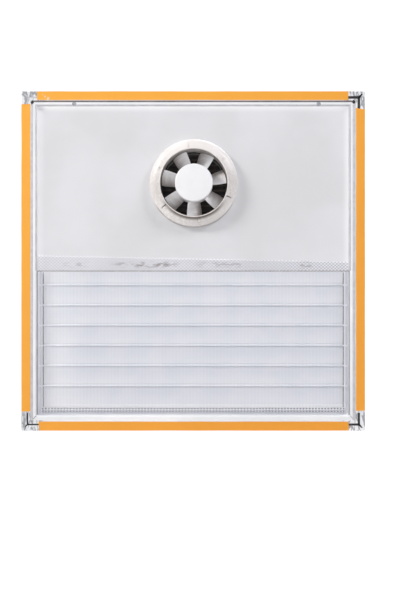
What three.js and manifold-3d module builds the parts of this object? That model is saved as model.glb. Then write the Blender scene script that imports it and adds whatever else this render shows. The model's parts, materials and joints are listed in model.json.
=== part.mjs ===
// A window insert with an exhaust fan, drawn in millimetres at its real size.
// +Z is up, -Y faces the room, +Y faces outdoors, +X is to the right seen from the room.
// The origin is the middle of the frame's sill face.

import * as THREE from "three";
import { mergeVertices } from "three/addons/utils/BufferGeometryUtils.js";
import Module from "manifold-3d";

const wasm = await Module();
wasm.setup();

// ---------------------------------------------------------------- fits
const SEAT_GAP = 0.3; // between pieces that rest against each other
const MITRE_GAP = 0.15; // on each side of a mitred joint
const RUNNING_GAP = 0.15; // radial, a turning pin in its hole
const PRESS_GAP = 0.1; // radial, a pin fixed in its hole
const OVERCUT = 1; // how far a cut runs past the face it opens

// ---------------------------------------------------------------- frame bars
const FRAME_WIDTH = 800;
const FRAME_HEIGHT = 790;
const FRAME_DEPTH = 62;
const BAR_WIDTH = 35; // from the outer edge to the lip's edge
const BAR_WALL = 2.5;
const FACE_WIDTH = 24; // front face, from the outer edge to the rebate
const HEAD_FACE_STEP = 2.4; // how much narrower the head bar's face is
const EDGE_CHAMFER = 1.2;
const SCORE_OFFSET = 6.7; // a fine line along the face
const SCORE_WIDTH = 1;
const SCORE_DEPTH = 0.6;
const GROOVE_OFFSET = 12.8;
const GROOVE_WIDTH = 3.4;
const GROOVE_DEPTH = 6;
const CLEAT_LEG = 64;

// ---------------------------------------------------------------- beads, tape and screws
const BEAD_DEPTH = 10;
const BEAD_RECESS = 0.5; // behind the frame's face
const BEAD_ROUND = 3.5;
const HEAD_BEAD_NIP = 6; // cut off the sharp tip at each end of the head bead
const TAPE_WIDTH = 21.2;
const TAPE_THICKNESS = 0.3;
const TAPE_MARGIN = 0.2; // from the frame's outer edge
const TAPE_LIFT = 0.1;
const TAPE_STOPS = {
  sill: [40, 38.5], // bare face left at each end of a strip
  head: [36.5, 39.5],
  left: [45, 29.5],
  right: [46, 39],
};
const BEAD_SCREW_INSETS = [123, 108]; // from the frame's left and right edges
const BEAD_SCREW_MARGIN = 3.1; // from the head bead's inner edge
const BEAD_SCREW_LENGTH = 31;

// ---------------------------------------------------------------- panel and insect mesh
const PANEL_THICKNESS = 6;
const PANEL_DROP = 417.5; // its bottom edge below the frame's top
const PANEL_TOP_GAP = 4.4; // from the head rebate
const PANEL_SIDE_GAP = 3; // from the jamb rebates
const PANEL_HOLE_GAP = 1.6; // round the duct
const PACKER_EDGE_GAP = 2;
const PACKER_MARGIN = 1; // from the lip's edge
const MESH_THICKNESS = 0.6;
const MESH_LAP = 29.9; // over the panel, at the middle
const MESH_SLANT = THREE.MathUtils.degToRad(1.15); // of the hand-cut top edge
const MESH_COLUMNS = 18;
const MESH_ROWS = 9;
const MESH_WIRE = 1.2;

// ---------------------------------------------------------------- shutter
const FLAP_COUNT = 7;
const SHUTTER_FOOT = 54.4; // one pitch below the lowest pivot, above the sill face
const TOP_PIVOT_RISE = 14.4; // above the panel's bottom edge
const PIVOT_DEPTH = 24.5; // behind the frame's face
const FLAP_END_GAP = 2.8;
const FLAP_TIP_GAP = 2.5; // above the next pivot
const FLAP_WEB = 1.2;
const FLAP_BOW = 1.1;
const FLAP_HEM = 2.4;
const BULB_RADIUS = 2.6;
const ROD_RADIUS = 1.6;
const ROD_END_GAP = 2.2; // from the frame's lip
const ROD_CHAMFER = 0.5;
const STILE_STANDOFF = 5.5; // of the bearing leg from the frame's lip
const STILE_LEG = 4.5;
const STILE_WALL = 2.5;
const STILE_BEARING_DEPTH = 15;
const STILE_FIXING_DEPTH = 15;
const HEAD_RAIL_WALL = 2.3;
const HEAD_RAIL_LAP = 30; // down the back of the panel
const HEAD_RAIL_DEPTH = 30;
const HEAD_RAIL_RISE = 12.6; // of its underside above the top pivot
const SILL_RAIL_DEPTH = 24;
const SILL_RAIL_WALL = 2.5;
const SILL_RAIL_HEIGHT = 12.6; // of its front leg, with the nose
const SILL_RAIL_NOSE = 2.4; // its radius
const SILL_RAIL_CLEARANCE = 2; // below the lowest flap

// ---------------------------------------------------------------- fan
const FAN_X = 1.5;
const FAN_DROP = 213.5; // of its axis below the frame's top
const DUCT_RADIUS = 78.5; // inside
const DUCT_WALL = 1.8;
const DUCT_OVERRUN = 13.3; // behind the motor
const DUCT_COLLAR = 4.5; // proud of the flange
const DUCT_LIP = 0.9;
const FLANGE_WIDTH = 22.7; // beyond the duct
const FLANGE_RISE = 20;
const FLANGE_WALL = 2.2;
const FLANGE_RIM = 2.4;
const FLANGE_CROWN = 3; // how far the dish bulges
const CLIP_OFFSET = 7.7; // of a slot's middle from the duct
const CLIP_ANGLE = 98;
const CLIP_LENGTH = 12;
const CLIP_WIDTH = 3;
const SCREW_OFFSET = 8.2; // of a flange screw from the duct
const SCREW_ANGLE = 38;
const SCREW_SHANK = 1.9;
const SCREW_HEAD = 3.5;
const SCREW_HEAD_HEIGHT = 2.4;
const SCREW_RIM = 0.9; // straight edge of the head
const SCREW_LENGTH = 22;
const SCREW_SEAT = 3.2; // flange material under a screw head
const BOSS_WALL = 2;
const CLAMP_WIDTH = 18.7; // beyond the duct
const CLAMP_THICKNESS = 4;
const CLAMP_RIM = 7;
const CLAMP_BOSS_LENGTH = 12;
const THIRD_TURN = 120;

// ---------------------------------------------------------------- impeller
const HUB_RADIUS = 44;
const HUB_WALL = 2;
const HUB_MARGIN = 3; // behind the blades
const HUB_SETBACK = 1.6; // behind the duct's front edge
const HUB_CROWN = 1.4;
const HUB_ROUND = 3;
const HUB_DIMPLE = 0.7; // at the centre of its front
const HUB_BOSS_RADIUS = 8;
const HUB_BOSS_DEPTH = 12.5;
const BLADE_COUNT = 7;
const BLADE_PHASE = 14;
const BLADE_TIP_GAP = 2.5;
const BLADE_ROOT_SPAN = THREE.MathUtils.degToRad(36);
const BLADE_TIP_SPAN = THREE.MathUtils.degToRad(26.5);
const BLADE_SETBACK = 21; // of the leading edges behind the hub's front
const BLADE_DEPTH = 26;
const BLADE_CAMBER = 0.08; // of the chord
const BLADE_THICKNESS = 2.4;
const BLADE_EDGE = 0.35; // edge thickness as a share of the thickest

// ---------------------------------------------------------------- motor and its mount
const MOTOR_INSET = 4; // inside the hub's wall
const MOTOR_WALL = 2;
const MOTOR_GAP = 1.6; // hub boss to motor housing
const END_CAP_THICKNESS = 2.7;
const SHAFT_RADIUS = 3;
const BEARING_RADIUS = 7;
const BEARING_LENGTH = 8;
const BEARING_WALL = 4.8; // of the cup round a bearing
const CORE_LENGTH = 24;
const ROTOR_RADIUS = 20;
const AIR_GAP = 0.8;
const CORE_CHAMFER = 1;
const SHAFT_RECESS = 1; // of the shaft's end in the end cap
const STATOR_SLOTS = 6;
const STATOR_SLOT_WIDTH = 7;
const STATOR_SLOT_DEPTH = 8;
const MOUNT_GAP = 2.1; // behind the hub
const MOUNT_RING = 2.6;
const MOUNT_DEPTH = 12;
const MOUNT_ARM = 4;
const MOUNT_ANGLE = 30;

// ---------------------------------------------------------------- weather grille, terminal box
const GRILLE_SLEEVE = 12; // lap over the duct
const GRILLE_WALL = 3;
const GRILLE_DEPTH = 16; // beyond the duct
const VANE_PITCH = 12.2;
const VANE_CHORD = 15;
const VANE_THICKNESS = 1.6;
const VANE_TILT = THREE.MathUtils.degToRad(45);
const GRILLE_RIB = 3;
const TERMINAL_WIDTH = 44;
const TERMINAL_DEPTH = 26;
const TERMINAL_HEIGHT = 20;
const TERMINAL_OFFSET = 4; // behind the clamp ring's rim
const GLAND_RADIUS = 6.5;
const GLAND_LENGTH = 13;
const GLAND_NUT = 7.8; // length of its hexagon
const GLAND_MOUTH = 5.2; // radius at its end
const GLAND_BORE = 3.6;

// ---------------------------------------------------------------- facets
const WIDE_FACETS = 48;
const HUB_FACETS = 42;
const MOTOR_FACETS = 24;
const SMALL_FACETS = 12;
const HEX_FACETS = 6;
const BEND_STEPS = 4; // along a bend of a turned profile
const ARC_STEPS = 6; // along an arc of a flap's outline
const BLADE_STEPS = [5, 6]; // root to tip, and leading to trailing edge

const FINISHES = {
  coated: { color: 0xeceef1, roughness: 0.38, metalness: 0.05 },
  bead: { color: 0xf2f3f6, roughness: 0.35, metalness: 0.0 },
  tape: { color: 0xf2a743, roughness: 0.45, metalness: 0.0 },
  panel: { color: 0xe0e0e3, roughness: 0.5, metalness: 0.0 },
  net: { color: 0xc9cbcf, roughness: 0.6, metalness: 0.1 },
  flap: { color: 0xe4e5e9, roughness: 0.42, metalness: 0.05 },
  steel: { color: 0xb9bcc0, roughness: 0.35, metalness: 0.9 },
  cast: { color: 0xa7abb0, roughness: 0.55, metalness: 0.8 },
  moulded: { color: 0xf3f1ee, roughness: 0.4, metalness: 0.0 },
  blade: { color: 0xe6e1dc, roughness: 0.42, metalness: 0.0 },
  dark: { color: 0x1d1b1e, roughness: 0.6, metalness: 0.0 },
  bronze: { color: 0xa97a45, roughness: 0.5, metalness: 0.85 },
};

// ---------------------------------------------------------------- places that follow from the sizes
const faceY = -FRAME_DEPTH / 2;
const backY = FRAME_DEPTH / 2;
const beadWidth = BAR_WIDTH - FACE_WIDTH - SEAT_GAP;
const beadFaceY = faceY + BEAD_RECESS;
const beadBackY = beadFaceY + BEAD_DEPTH;
const headFaceWidth = FACE_WIDTH - HEAD_FACE_STEP;
const meshY = beadBackY + SEAT_GAP;
const panelY = meshY + MESH_THICKNESS + SEAT_GAP;
const panelBackY = panelY + PANEL_THICKNESS;
const lipY = panelBackY + SEAT_GAP;
const cleatFrontY = faceY + GROOVE_DEPTH + BAR_WALL; // of the chamber that holds the corner cleats
const cleatBackY = lipY;
const openingHalfWidth = FRAME_WIDTH / 2 - BAR_WIDTH;
const beadScrewX = [BEAD_SCREW_INSETS[0] - FRAME_WIDTH / 2, FRAME_WIDTH / 2 - BEAD_SCREW_INSETS[1]];
const beadScrewZ = FRAME_HEIGHT - headFaceWidth - SEAT_GAP - beadWidth + BEAD_SCREW_MARGIN;
const panelBottom = FRAME_HEIGHT - PANEL_DROP;
const packerOuter = FACE_WIDTH + PACKER_EDGE_GAP;
const packerInner = BAR_WIDTH - PACKER_MARGIN;
const meshEdge = (packerOuter + packerInner) / 2;

const topPivot = panelBottom + TOP_PIVOT_RISE;
const flapPitch = (topPivot - SHUTTER_FOOT) / FLAP_COUNT;
const pivotY = faceY + PIVOT_DEPTH;
const shutterFoot = BAR_WIDTH + SEAT_GAP;
const sillRailTop = shutterFoot + SILL_RAIL_HEIGHT;
const stileInner = openingHalfWidth - STILE_STANDOFF - STILE_LEG;
const stileTop = topPivot + HEAD_RAIL_RISE - SEAT_GAP;
const stileFrontY = lipY + HEAD_RAIL_WALL + SEAT_GAP;
const flapDrop = flapPitch - FLAP_TIP_GAP;
const tipReach = Math.sqrt((BULB_RADIUS + SEAT_GAP) ** 2 - FLAP_TIP_GAP ** 2);
const flapLean = Math.asin((tipReach + FLAP_WEB / 2) / flapDrop);
const lowestFlapDrop = SHUTTER_FOOT + flapPitch - sillRailTop - SILL_RAIL_CLEARANCE;
const flapHalfLength = stileInner - FLAP_END_GAP;
const rodHalfLength = openingHalfWidth - ROD_END_GAP;

const fanZ = FRAME_HEIGHT - FAN_DROP;
const ductOuter = DUCT_RADIUS + DUCT_WALL;
const flangeRadius = ductOuter + FLANGE_WIDTH;
const screwRadius = ductOuter + SCREW_OFFSET;
const flangeBackY = panelY - SEAT_GAP;
const flangeFrontY = flangeBackY - FLANGE_RISE;
const clampBackY = lipY + CLAMP_RIM;
const ductFrontY = flangeFrontY - DUCT_COLLAR;
const hubFrontY = ductFrontY + HUB_SETBACK;
const bossBackY = hubFrontY + HUB_WALL + HUB_BOSS_DEPTH;
const bladeY = hubFrontY + BLADE_SETBACK;
const bladeTipRadius = DUCT_RADIUS - BLADE_TIP_GAP;
const hubBackY = bladeY + BLADE_DEPTH + HUB_MARGIN;
const motorRadius = HUB_RADIUS - HUB_WALL - MOTOR_INSET;
const motorY = bossBackY + MOTOR_GAP;
const mountY = hubBackY + MOUNT_GAP;
const motorBackY = mountY + MOUNT_DEPTH;
const capBackY = motorBackY + SEAT_GAP + END_CAP_THICKNESS;
const ductBackY = capBackY + DUCT_OVERRUN;

const X = new THREE.Vector3(1, 0, 0);
const Y = new THREE.Vector3(0, 1, 0);
const Z = new THREE.Vector3(0, 0, 1);

// ---------------------------------------------------------------- modelling helpers

/** A closed geometry as a solid that faces outwards and can be joined and cut. */
function solid(geometry) {
  const bare = geometry.clone();
  bare.deleteAttribute("normal");
  bare.deleteAttribute("uv");
  const merged = mergeVertices(bare, 1e-4);
  const corners = merged.index.array;
  const faces = [];
  for (let i = 0; i < corners.length; i += 3) {
    const [a, b, c] = corners.slice(i, i + 3);
    if (a !== b && b !== c && c !== a) faces.push([a, b, c]);
  }
  const build = (triangles) =>
    new wasm.Manifold(
      new wasm.Mesh({
        numProp: 3,
        vertProperties: merged.attributes.position.array,
        triVerts: new Uint32Array(triangles.flat()),
      }),
    );
  const made = build(faces);
  return made.volume() > 0 ? made : build(faces.map(([a, b, c]) => [a, c, b]));
}

/** A closed outline through points given as [x, y]. */
function outline(points) {
  return new THREE.Shape(points.map(([x, y]) => new THREE.Vector2(x, y)));
}

/** The matrix that lays a drawing's x, its y and its depth along three directions. */
function laid(x, y, depth, origin = new THREE.Vector3()) {
  return new THREE.Matrix4().makeBasis(x, y, depth).setPosition(origin);
}

/** An outline given a thickness along its depth. */
function extruded(shape, depth, curveSegments = 8) {
  return new THREE.ExtrudeGeometry(shape, { depth, bevelEnabled: false, curveSegments });
}

/** A solid turned about the Y axis from [radius, y] points that close on themselves or on the axis. */
function turned(profile, facets) {
  const points = profile.map(([r, y]) => new THREE.Vector2(r, y));
  if (points[0].x > 0) points.push(points[0].clone());
  return solid(new THREE.LatheGeometry(points, facets));
}

/** Points along a bend between two ends, drawn towards a third point. */
function bend(from, towards, to) {
  const [a, b, c] = [from, towards, to].map(([r, y]) => new THREE.Vector2(r, y));
  return new THREE.QuadraticBezierCurve(a, b, c).getPoints(BEND_STEPS).map((p) => p.toArray());
}

/** A round rod along Y between two depths, for pins, bosses and holes. */
function rod(radius, fromY, toY, x = 0, z = 0, facets = SMALL_FACETS) {
  const geometry = new THREE.CylinderGeometry(radius, radius, toY - fromY, facets);
  return solid(geometry.translate(x, (fromY + toY) / 2, z));
}

/** A rectangular block between its limits along X, Y and Z. */
function block([x0, x1], [y0, y1], [z0, z1]) {
  const geometry = new THREE.BoxGeometry(x1 - x0, y1 - y0, z1 - z0);
  return solid(geometry.translate((x0 + x1) / 2, (y0 + y1) / 2, (z0 + z1) / 2));
}

/** A named mesh of a solid, with a material of its own. */
function piece(name, body, finish) {
  const { vertProperties, triVerts } = body.getMesh();
  const geometry = new THREE.BufferGeometry();
  geometry.setAttribute("position", new THREE.BufferAttribute(vertProperties, 3));
  geometry.setIndex(new THREE.BufferAttribute(triVerts, 1));
  geometry.computeVertexNormals();
  const mesh = new THREE.Mesh(geometry, new THREE.MeshStandardMaterial(FINISHES[finish]));
  mesh.name = name;
  return mesh;
}

/** The point at an angle in degrees on a circle about the fan's axis, as [x, z]. */
function onCircle(radius, degrees) {
  const angle = THREE.MathUtils.degToRad(degrees);
  return [radius * Math.cos(angle), radius * Math.sin(angle)];
}

/** Three angles a third of a turn apart. */
function thirds(first) {
  return [0, 1, 2].map((k) => first + k * THIRD_TURN);
}

// Where each side's section is drawn: x inwards, y outdoors, depth along the bar.
const SIDES = {
  sill: { length: FRAME_WIDTH, at: laid(Z, Y, X, new THREE.Vector3(-FRAME_WIDTH / 2, 0, 0)) },
  head: {
    length: FRAME_WIDTH,
    at: laid(Z.clone().negate(), Y, X, new THREE.Vector3(-FRAME_WIDTH / 2, 0, FRAME_HEIGHT)),
  },
  left: { length: FRAME_HEIGHT, at: laid(X, Y, Z, new THREE.Vector3(-FRAME_WIDTH / 2, 0, 0)) },
  right: {
    length: FRAME_HEIGHT,
    at: laid(X.clone().negate(), Y, Z, new THREE.Vector3(FRAME_WIDTH / 2, 0, 0)),
  },
};

/** A section run along one side of the frame and mitred at both ends, a little short of the mitre. */
function mitred(section, side) {
  const { length, at } = SIDES[side];
  const geometry = extruded(section, length);
  const position = geometry.attributes.position;
  for (let i = 0; i < position.count; i++) {
    const setBack = position.getX(i) + MITRE_GAP;
    position.setZ(i, position.getZ(i) > length / 2 ? length - setBack : setBack);
  }
  return solid(geometry.applyMatrix4(at));
}

// ---------------------------------------------------------------- frame

/** The distance from the outer edge to the rebate on one side of the frame. */
function faceWidth(side) {
  return side === "head" ? headFaceWidth : FACE_WIDTH;
}

/** The bar's hollow section: a grooved face, the rebate for the panel, and the lip behind it. */
function barSection(side) {
  const groovePit = faceY + GROOVE_DEPTH;
  const section = outline([
    [0, faceY + EDGE_CHAMFER],
    [EDGE_CHAMFER, faceY],
    [SCORE_OFFSET, faceY],
    [SCORE_OFFSET + SCORE_WIDTH / 2, faceY + SCORE_DEPTH],
    [SCORE_OFFSET + SCORE_WIDTH, faceY],
    [GROOVE_OFFSET, faceY],
    [GROOVE_OFFSET, groovePit],
    [GROOVE_OFFSET + GROOVE_WIDTH, groovePit],
    [GROOVE_OFFSET + GROOVE_WIDTH, faceY],
    [faceWidth(side), faceY],
    [faceWidth(side), lipY],
    [BAR_WIDTH, lipY],
    [BAR_WIDTH, backY],
    [0, backY],
  ]);
  const chamber = (inner, fromY, toY) =>
    outline([
      [BAR_WALL, fromY],
      [BAR_WALL, toY],
      [inner, toY],
      [inner, fromY],
    ]);
  section.holes.push(chamber(headFaceWidth - BAR_WALL, cleatFrontY, cleatBackY));
  section.holes.push(chamber(BAR_WIDTH - BAR_WALL, lipY + BAR_WALL, backY - BAR_WALL));
  return section;
}

/** An L-shaped cleat that joins two bars from inside their front chambers. */
function cornerCleat(right, top) {
  const near = BAR_WALL + SEAT_GAP;
  const far = headFaceWidth - BAR_WALL - SEAT_GAP;
  const end = near + CLEAT_LEG;
  const shape = outline([
    [near, near],
    [end, near],
    [end, far],
    [far, far],
    [far, end],
    [near, end],
  ]);
  const x = right ? X.clone().negate() : X;
  const z = top ? Z.clone().negate() : Z;
  const corner = new THREE.Vector3(
    (right ? 1 : -1) * (FRAME_WIDTH / 2),
    cleatFrontY + SEAT_GAP,
    top ? FRAME_HEIGHT : 0,
  );
  return solid(extruded(shape, cleatBackY - cleatFrontY - 2 * SEAT_GAP).applyMatrix4(laid(x, z, Y, corner)));
}

/** A glazing bead: flat front, rounded towards the opening, pressed against the panel. */
function beadSection(side) {
  const outer = faceWidth(side) + SEAT_GAP;
  const inner = outer + beadWidth;
  const front = beadFaceY;
  const shape = new THREE.Shape();
  shape.moveTo(outer, front);
  shape.lineTo(inner - BEAD_ROUND, front);
  shape.absarc(inner - BEAD_ROUND, front + BEAD_ROUND, BEAD_ROUND, -Math.PI / 2, 0, false);
  shape.lineTo(inner, beadBackY);
  shape.lineTo(outer, beadBackY);
  shape.closePath();
  return shape;
}

/** The room that a head bead with nipped tips fits in. */
function nippedTips() {
  const half = FRAME_WIDTH / 2 - headFaceWidth - SEAT_GAP - HEAD_BEAD_NIP;
  return block(
    [-half, half],
    [beadFaceY - OVERCUT, beadBackY + OVERCUT],
    [FRAME_HEIGHT - BAR_WIDTH, FRAME_HEIGHT],
  );
}

/** A strip of tape along one bar's face, with bare face left at each end. */
function tapeStrip(side) {
  const { length, at } = SIDES[side];
  const [start, end] = TAPE_STOPS[side];
  const front = faceY - TAPE_LIFT - TAPE_THICKNESS;
  const section = outline([
    [TAPE_MARGIN, front],
    [TAPE_MARGIN, front + TAPE_THICKNESS],
    [TAPE_MARGIN + TAPE_WIDTH, front + TAPE_THICKNESS],
    [TAPE_MARGIN + TAPE_WIDTH, front],
  ]);
  const strip = extruded(section, length - start - end).translate(0, 0, start);
  return solid(strip.applyMatrix4(at));
}

/** A pan-head screw along Y, its head's underside at the given depth. */
function panHeadScrew(seatY, length) {
  const topY = seatY - SCREW_HEAD_HEIGHT;
  return turned(
    [
      ...bend([0, topY], [SCREW_HEAD, topY], [SCREW_HEAD, seatY - SCREW_RIM]),
      [SCREW_HEAD, seatY],
      [SCREW_SHANK, seatY],
      [SCREW_SHANK, seatY + length - SCREW_SHANK],
      [0, seatY + length],
    ],
    SMALL_FACETS,
  );
}

/** A clearance hole along Y for a screw. */
function screwHole(x, z, fromY, toY) {
  return rod(SCREW_SHANK + SEAT_GAP, fromY, toY, x, z);
}

/** The four bars with their cleats, beads, tape and bead screws. */
function buildFrame() {
  const group = new THREE.Group();
  for (const side of Object.keys(SIDES)) {
    const isHead = side === "head";
    let bar = mitred(barSection(side), side);
    let bead = mitred(beadSection(side), side);
    if (isHead) bead = bead.intersect(nippedTips());
    let tape = tapeStrip(side);
    for (const x of isHead ? beadScrewX : []) {
      const underHead = rod(SCREW_HEAD + SEAT_GAP, faceY - OVERCUT, beadFaceY, x, beadScrewZ);
      const shankHole = screwHole(x, beadScrewZ, faceY - OVERCUT, backY - 2 * BAR_WALL);
      bar = bar.subtract(shankHole).subtract(underHead);
      bead = bead.subtract(shankHole);
      tape = tape.subtract(underHead);
    }
    group.add(piece(`frame_${side}`, bar, "coated"));
    group.add(piece(`bead_${side}`, bead, "bead"));
    group.add(piece(`edge_tape_${side}`, tape, "tape"));
  }
  for (const [top, height] of [[false, "lower"], [true, "upper"]])
    for (const [right, hand] of [[false, "left"], [true, "right"]])
      group.add(piece(`corner_cleat_${height}_${hand}`, cornerCleat(right, top), "cast"));
  beadScrewX.forEach((x, i) => {
    const screw = panHeadScrew(beadFaceY - SEAT_GAP, BEAD_SCREW_LENGTH);
    const mesh = piece(`bead_screw_${i ? "right" : "left"}`, screw, "steel");
    mesh.position.set(x, 0, beadScrewZ);
    group.add(mesh);
  });
  return group;
}

// ---------------------------------------------------------------- panel, packers and mesh

/** The flat panel, with a hole for the duct and clearance holes for the screws. */
function upperPanel() {
  const half = FRAME_WIDTH / 2 - FACE_WIDTH - PANEL_SIDE_GAP;
  const top = FRAME_HEIGHT - headFaceWidth - PANEL_TOP_GAP;
  const cut = [panelY - OVERCUT, panelBackY + OVERCUT];
  const hole = rod(ductOuter + PANEL_HOLE_GAP, ...cut, FAN_X, fanZ, WIDE_FACETS);
  let panel = block([-half, half], [panelY, panelBackY], [panelBottom, top]).subtract(hole);
  for (const angle of thirds(SCREW_ANGLE)) {
    const [x, z] = onCircle(screwRadius, angle);
    panel = panel.subtract(screwHole(FAN_X + x, fanZ + z, ...cut));
  }
  for (const x of beadScrewX) panel = panel.subtract(screwHole(x, beadScrewZ, ...cut));
  return panel;
}

/** The insect mesh: one flat net of crossing strands, hand-cut at a slant along its top edge. */
function insectMesh() {
  const half = FRAME_WIDTH / 2 - meshEdge;
  const bottom = meshEdge;
  const depth = [meshY, meshY + MESH_THICKNESS];
  const topAt = (x) => panelBottom + MESH_LAP - x * Math.tan(MESH_SLANT);
  const pitchX = (2 * half - MESH_WIRE) / MESH_COLUMNS;
  const pitchZ = (topAt(half) - bottom - MESH_WIRE) / MESH_ROWS;
  const slanted = (below) =>
    solid(
      extruded(
        outline([
          [-half, below(-half)],
          [half, below(half)],
          [half, topAt(half)],
          [-half, topAt(-half)],
        ]),
        MESH_THICKNESS,
      ).applyMatrix4(laid(X, Z, Y, new THREE.Vector3(0, meshY, 0))),
    );
  let strands = block([-half, half], depth, [bottom, bottom + MESH_WIRE]);
  for (let row = 1; row < MESH_ROWS; row++) {
    const z = bottom + row * pitchZ;
    strands = strands.add(block([-half, half], depth, [z, z + MESH_WIRE]));
  }
  for (let column = 0; column <= MESH_COLUMNS; column++) {
    const x = -half + column * pitchX;
    strands = strands.add(block([x, x + MESH_WIRE], depth, [bottom, topAt(-half)]));
  }
  return strands.intersect(slanted(() => bottom)).add(slanted((x) => topAt(x) - MESH_WIRE));
}

/** Panel, mesh, and the packer strips that pinch the mesh against the beads below the panel. */
function buildGlazing() {
  const group = new THREE.Group();
  group.add(piece("upper_panel", upperPanel(), "panel"));
  group.add(piece("insect_mesh", insectMesh(), "net"));
  const depth = [panelY, panelBackY];
  for (const [hand, sign] of [["left", -1], ["right", 1]]) {
    const across = [packerOuter, packerInner].map((inset) => sign * (FRAME_WIDTH / 2 - inset));
    const upright = block(
      across.sort((a, b) => a - b),
      depth,
      [packerOuter, panelBottom - SEAT_GAP],
    );
    group.add(piece(`mesh_packer_${hand}`, upright, "panel"));
  }
  const reach = FRAME_WIDTH / 2 - packerInner - SEAT_GAP;
  const level = block([-reach, reach], depth, [packerOuter, packerInner]);
  group.add(piece("mesh_packer_sill", level, "panel"));
  return group;
}

// ---------------------------------------------------------------- shutter

/** A stile: a bearing leg with a hole for each rod, a web, and a leg fixed to the frame's lip. */
function shutterStile(sign) {
  const legOuter = stileInner + STILE_LEG;
  const wall = openingHalfWidth - SEAT_GAP;
  const webY = stileFrontY + STILE_BEARING_DEPTH;
  const section = outline([
    [stileInner, stileFrontY],
    [stileInner, webY],
    [wall - STILE_WALL, webY],
    [wall - STILE_WALL, webY + STILE_FIXING_DEPTH],
    [wall, webY + STILE_FIXING_DEPTH],
    [wall, webY - STILE_WALL],
    [legOuter, webY - STILE_WALL],
    [legOuter, stileFrontY],
  ]);
  const at = laid(X.clone().multiplyScalar(sign), Y, Z, new THREE.Vector3(0, 0, shutterFoot));
  let stile = solid(extruded(section, stileTop - shutterFoot).applyMatrix4(at));
  for (let i = 0; i < FLAP_COUNT; i++) {
    const hole = new THREE.CylinderGeometry(
      ROD_RADIUS + RUNNING_GAP,
      ROD_RADIUS + RUNNING_GAP,
      3 * STILE_LEG,
      SMALL_FACETS,
    );
    hole.rotateZ(Math.PI / 2);
    hole.translate(sign * (stileInner + STILE_LEG / 2), pivotY, topPivot - i * flapPitch);
    stile = stile.subtract(solid(hole));
  }
  return stile;
}

/** A flap: a bulb round its rod, and a bowed web that leans out to rest on the next bulb. */
function shutterFlap(drop) {
  const half = FLAP_WEB / 2;
  const neck = Math.asin(half / BULB_RADIUS);
  const shape = new THREE.Shape();
  shape.moveTo(-half, -drop);
  shape.quadraticCurveTo(-half - FLAP_BOW, -drop / 2, -half, -BULB_RADIUS * Math.cos(neck));
  shape.absarc(0, 0, BULB_RADIUS, -Math.PI / 2 - neck, -Math.PI / 2 + neck, true);
  shape.quadraticCurveTo(half - FLAP_BOW, -drop / 2, half, -drop + FLAP_WEB);
  shape.lineTo(half + FLAP_HEM, -drop + FLAP_WEB);
  shape.lineTo(half + FLAP_HEM, -drop);
  shape.closePath();
  const bore = new THREE.Path();
  bore.absarc(0, 0, ROD_RADIUS + PRESS_GAP, 0, 2 * Math.PI, false);
  shape.holes.push(bore);
  const geometry = extruded(shape, 2 * flapHalfLength, ARC_STEPS);
  geometry.rotateZ(flapLean);
  return solid(geometry.applyMatrix4(laid(Y, Z, X, new THREE.Vector3(-flapHalfLength, 0, 0))));
}

/** A pivot rod with chamfered ends, along X. */
function pivotRod() {
  const end = rodHalfLength;
  const profile = [
    [0, -end],
    [ROD_RADIUS - ROD_CHAMFER, -end],
    [ROD_RADIUS, -end + ROD_CHAMFER],
    [ROD_RADIUS, end - ROD_CHAMFER],
    [ROD_RADIUS - ROD_CHAMFER, end],
    [0, end],
  ].map(([r, y]) => new THREE.Vector2(r, y));
  return solid(new THREE.LatheGeometry(profile, SMALL_FACETS).rotateZ(Math.PI / 2));
}

/** A rail of constant section along X between the two ends. */
function rail(shape, halfLength) {
  const at = laid(Y, Z, X, new THREE.Vector3(-halfLength, 0, 0));
  return solid(extruded(shape, 2 * halfLength).applyMatrix4(at));
}

/** The head rail: an angle that hoods the top flap and laps down the back of the panel. */
function headRail() {
  const ceiling = topPivot + HEAD_RAIL_RISE;
  const shape = outline([
    [lipY, ceiling + HEAD_RAIL_WALL - HEAD_RAIL_LAP],
    [lipY, ceiling + HEAD_RAIL_WALL],
    [lipY + HEAD_RAIL_DEPTH, ceiling + HEAD_RAIL_WALL],
    [lipY + HEAD_RAIL_DEPTH, ceiling],
    [lipY + HEAD_RAIL_WALL, ceiling],
    [lipY + HEAD_RAIL_WALL, ceiling + HEAD_RAIL_WALL - HEAD_RAIL_LAP],
  ]);
  return rail(shape, openingHalfWidth - SEAT_GAP);
}

/** The sill rail: an angle on the sill, its front leg ending in a round nose below the lowest flap. */
function sillRail() {
  const frontY = stileFrontY;
  const legBackY = frontY + SILL_RAIL_WALL;
  const floor = shutterFoot + SILL_RAIL_WALL;
  const neck = Math.asin(SILL_RAIL_WALL / 2 / SILL_RAIL_NOSE);
  const noseZ = sillRailTop - SILL_RAIL_NOSE;
  const noseY = (frontY + legBackY) / 2;
  const shape = new THREE.Shape();
  shape.moveTo(frontY + SILL_RAIL_DEPTH, shutterFoot);
  shape.lineTo(frontY, shutterFoot);
  shape.absarc(noseY, noseZ, SILL_RAIL_NOSE, -Math.PI / 2 - neck, -Math.PI / 2 + neck, true);
  shape.lineTo(legBackY, floor);
  shape.lineTo(frontY + SILL_RAIL_DEPTH, floor);
  shape.closePath();
  return rail(shape, stileInner - SEAT_GAP);
}

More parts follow.
